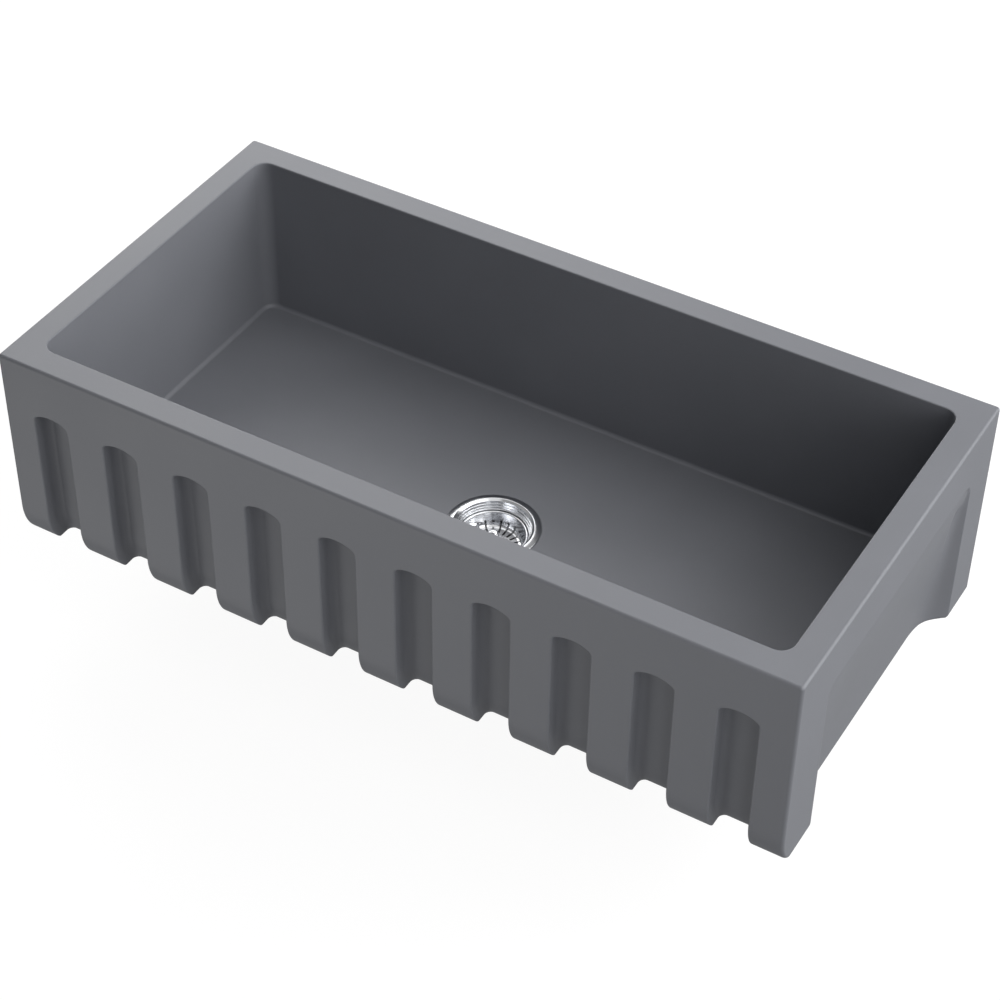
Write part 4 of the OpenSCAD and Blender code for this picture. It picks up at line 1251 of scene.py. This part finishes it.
def clip_end(before, after, way):
    """The cut end between two arcs, which looks across the gap."""
    return Line(np.stack([before.points[-1], after.points[0]]), np.array([[0, way]] * 2))


outer_arc, inner_arc = clip_arc(CLIP_OUT, 1), clip_arc(CLIP_IN, -1)
round_clip = (outer_arc, clip_end(outer_arc, inner_arc, 1.0),
              inner_arc, clip_end(inner_arc, outer_arc, -1.0))
clip_path = Line(*(np.concatenate(parts) for parts in zip(*round_clip)))
clip_wall = swept(clip_path, outline([(0, clip_foot, 0), (0, clip_top, 0)]))
dress("post_clip", [clip_wall, flat([clip_wall.points[:-1, 0]], (0, 0, -1)),
                    flat([clip_wall.points[:-1, -1]], (0, 0, 1))])
print("all", len(frame["nodes"]), "pieces are dressed")

# %% [markdown]
# ## The floor and the sky
# The strainer's tailpiece reaches below the sink's feet, so the floor lies just under it. A cut-out
# catalogue picture has one even white all round, so the floor glows white and the sky behind it is
# white to the camera. Neither of them lights the sink: its light comes from panels. The sky alone
# shows faintly in reflections, which takes the black out of the polished steel.

# %% Floor and sky
FLOOR_DROP = 0.001
FLOOR_HALF = 3.0
FLOOR_GLOW = 0.93
floor_z = PACKED_BOX[0].z - FLOOR_DROP
floor_mesh = bpy.data.meshes.new("studio_floor")
floor_mesh.from_pydata([(x * FLOOR_HALF, y * FLOOR_HALF, floor_z)
                        for x, y in ((-1, -1), (1, -1), (1, 1), (-1, 1))], [], [(0, 1, 2, 3)])
studio_floor = bpy.data.objects.new("studio_floor", floor_mesh)
bpy.context.scene.collection.objects.link(studio_floor)
studio_floor.visible_diffuse = False
studio_floor.visible_glossy = False
studio_floor.visible_shadow = False
pale, pale_shader, pale_place = material("pale_floor", Roughness=0.9,
                                         Emission_Strength=FLOOR_GLOW)
feed(pale_shader,
     Base_Color=pale_place.noise(3, 2).blend((0.10, 0.10, 0.10, 1), (0.12, 0.12, 0.12, 1)),
     Emission_Color=pale_place.noise(2, 2).blend((0.99, 0.99, 0.99, 1), (1, 1, 1, 1)))
floor_mesh.materials.append(pale)

sky = bpy.data.worlds.new("sky")
bpy.context.scene.world = sky
sky.use_nodes = True
bpy.context.scene.view_settings.view_transform = "Standard"
background = sky.node_tree.nodes["Background"]
background.inputs["Color"].default_value = (1, 1, 1, 1)
SKY_IN_METAL = 0.35  # the sky's strength in reflections, where the camera sees 1
ray = Wire(sky.node_tree).node("LightPath")
reflected = Wire(sky.node_tree, ray.socket.node.outputs["Is Glossy Ray"])
sky.node_tree.links.new((ray + reflected * SKY_IN_METAL).socket, background.inputs["Strength"])
print("floor at", round(floor_z, 4))

# %% [markdown]
# ## The light
# Nine soft square panels stand three metres away. Their powers were found by rendering the sink
# under each of many panels alone, and then finding the mix that comes nearest to the shades seen on
# the real one. Most of the light comes from the back, on both sides, and from the right, which
# leaves the apron darker than the rim. Two low panels in front lift the apron's foot, and two high
# ones light the rim and a little of the bowl.

# %% Soft panels
PANEL_SIZE, PANEL_AWAY, PANEL_AIM = 2.4, 3.0, Vector((0, 0, 0.2))
PANELS = {  # azimuth and elevation in degrees, as the camera's are given, and watts
    "front_low": (0, -25, 2.4), "front_high": (45, 68, 9.9), "front_right": (60, 5, 23.8),
    "front_right_high": (60, 25, 14.8), "right": (90, 45, 25.9), "back_right": (120, 25, 73.6),
    "back_left": (225, 25, 56.8), "back_high": (225, 68, 14.7), "left_low": (330, -25, 24.7)}


def panel(name, azimuth, elevation, power):
    """A square light panel that looks at the sink from a direction given as the camera's is."""
    a, e = np.radians(azimuth), np.radians(elevation)
    back = Vector((np.sin(a) * np.cos(e), -np.cos(a) * np.cos(e), np.sin(e)))
    light = bpy.data.objects.new(name, bpy.data.lights.new(name, "AREA"))
    light.data.size = PANEL_SIZE
    light.data.energy = power
    light.location = PANEL_AIM + back * PANEL_AWAY
    light.rotation_mode = "QUATERNION"
    light.rotation_quaternion = (-back).to_track_quat("-Z", "Y")
    bpy.context.scene.collection.objects.link(light)


for name, (azimuth, elevation, power) in PANELS.items():
    panel(name, azimuth, elevation, power)
print("panels:", len(PANELS), "with", sum(power for _, _, power in PANELS.values()), "W")
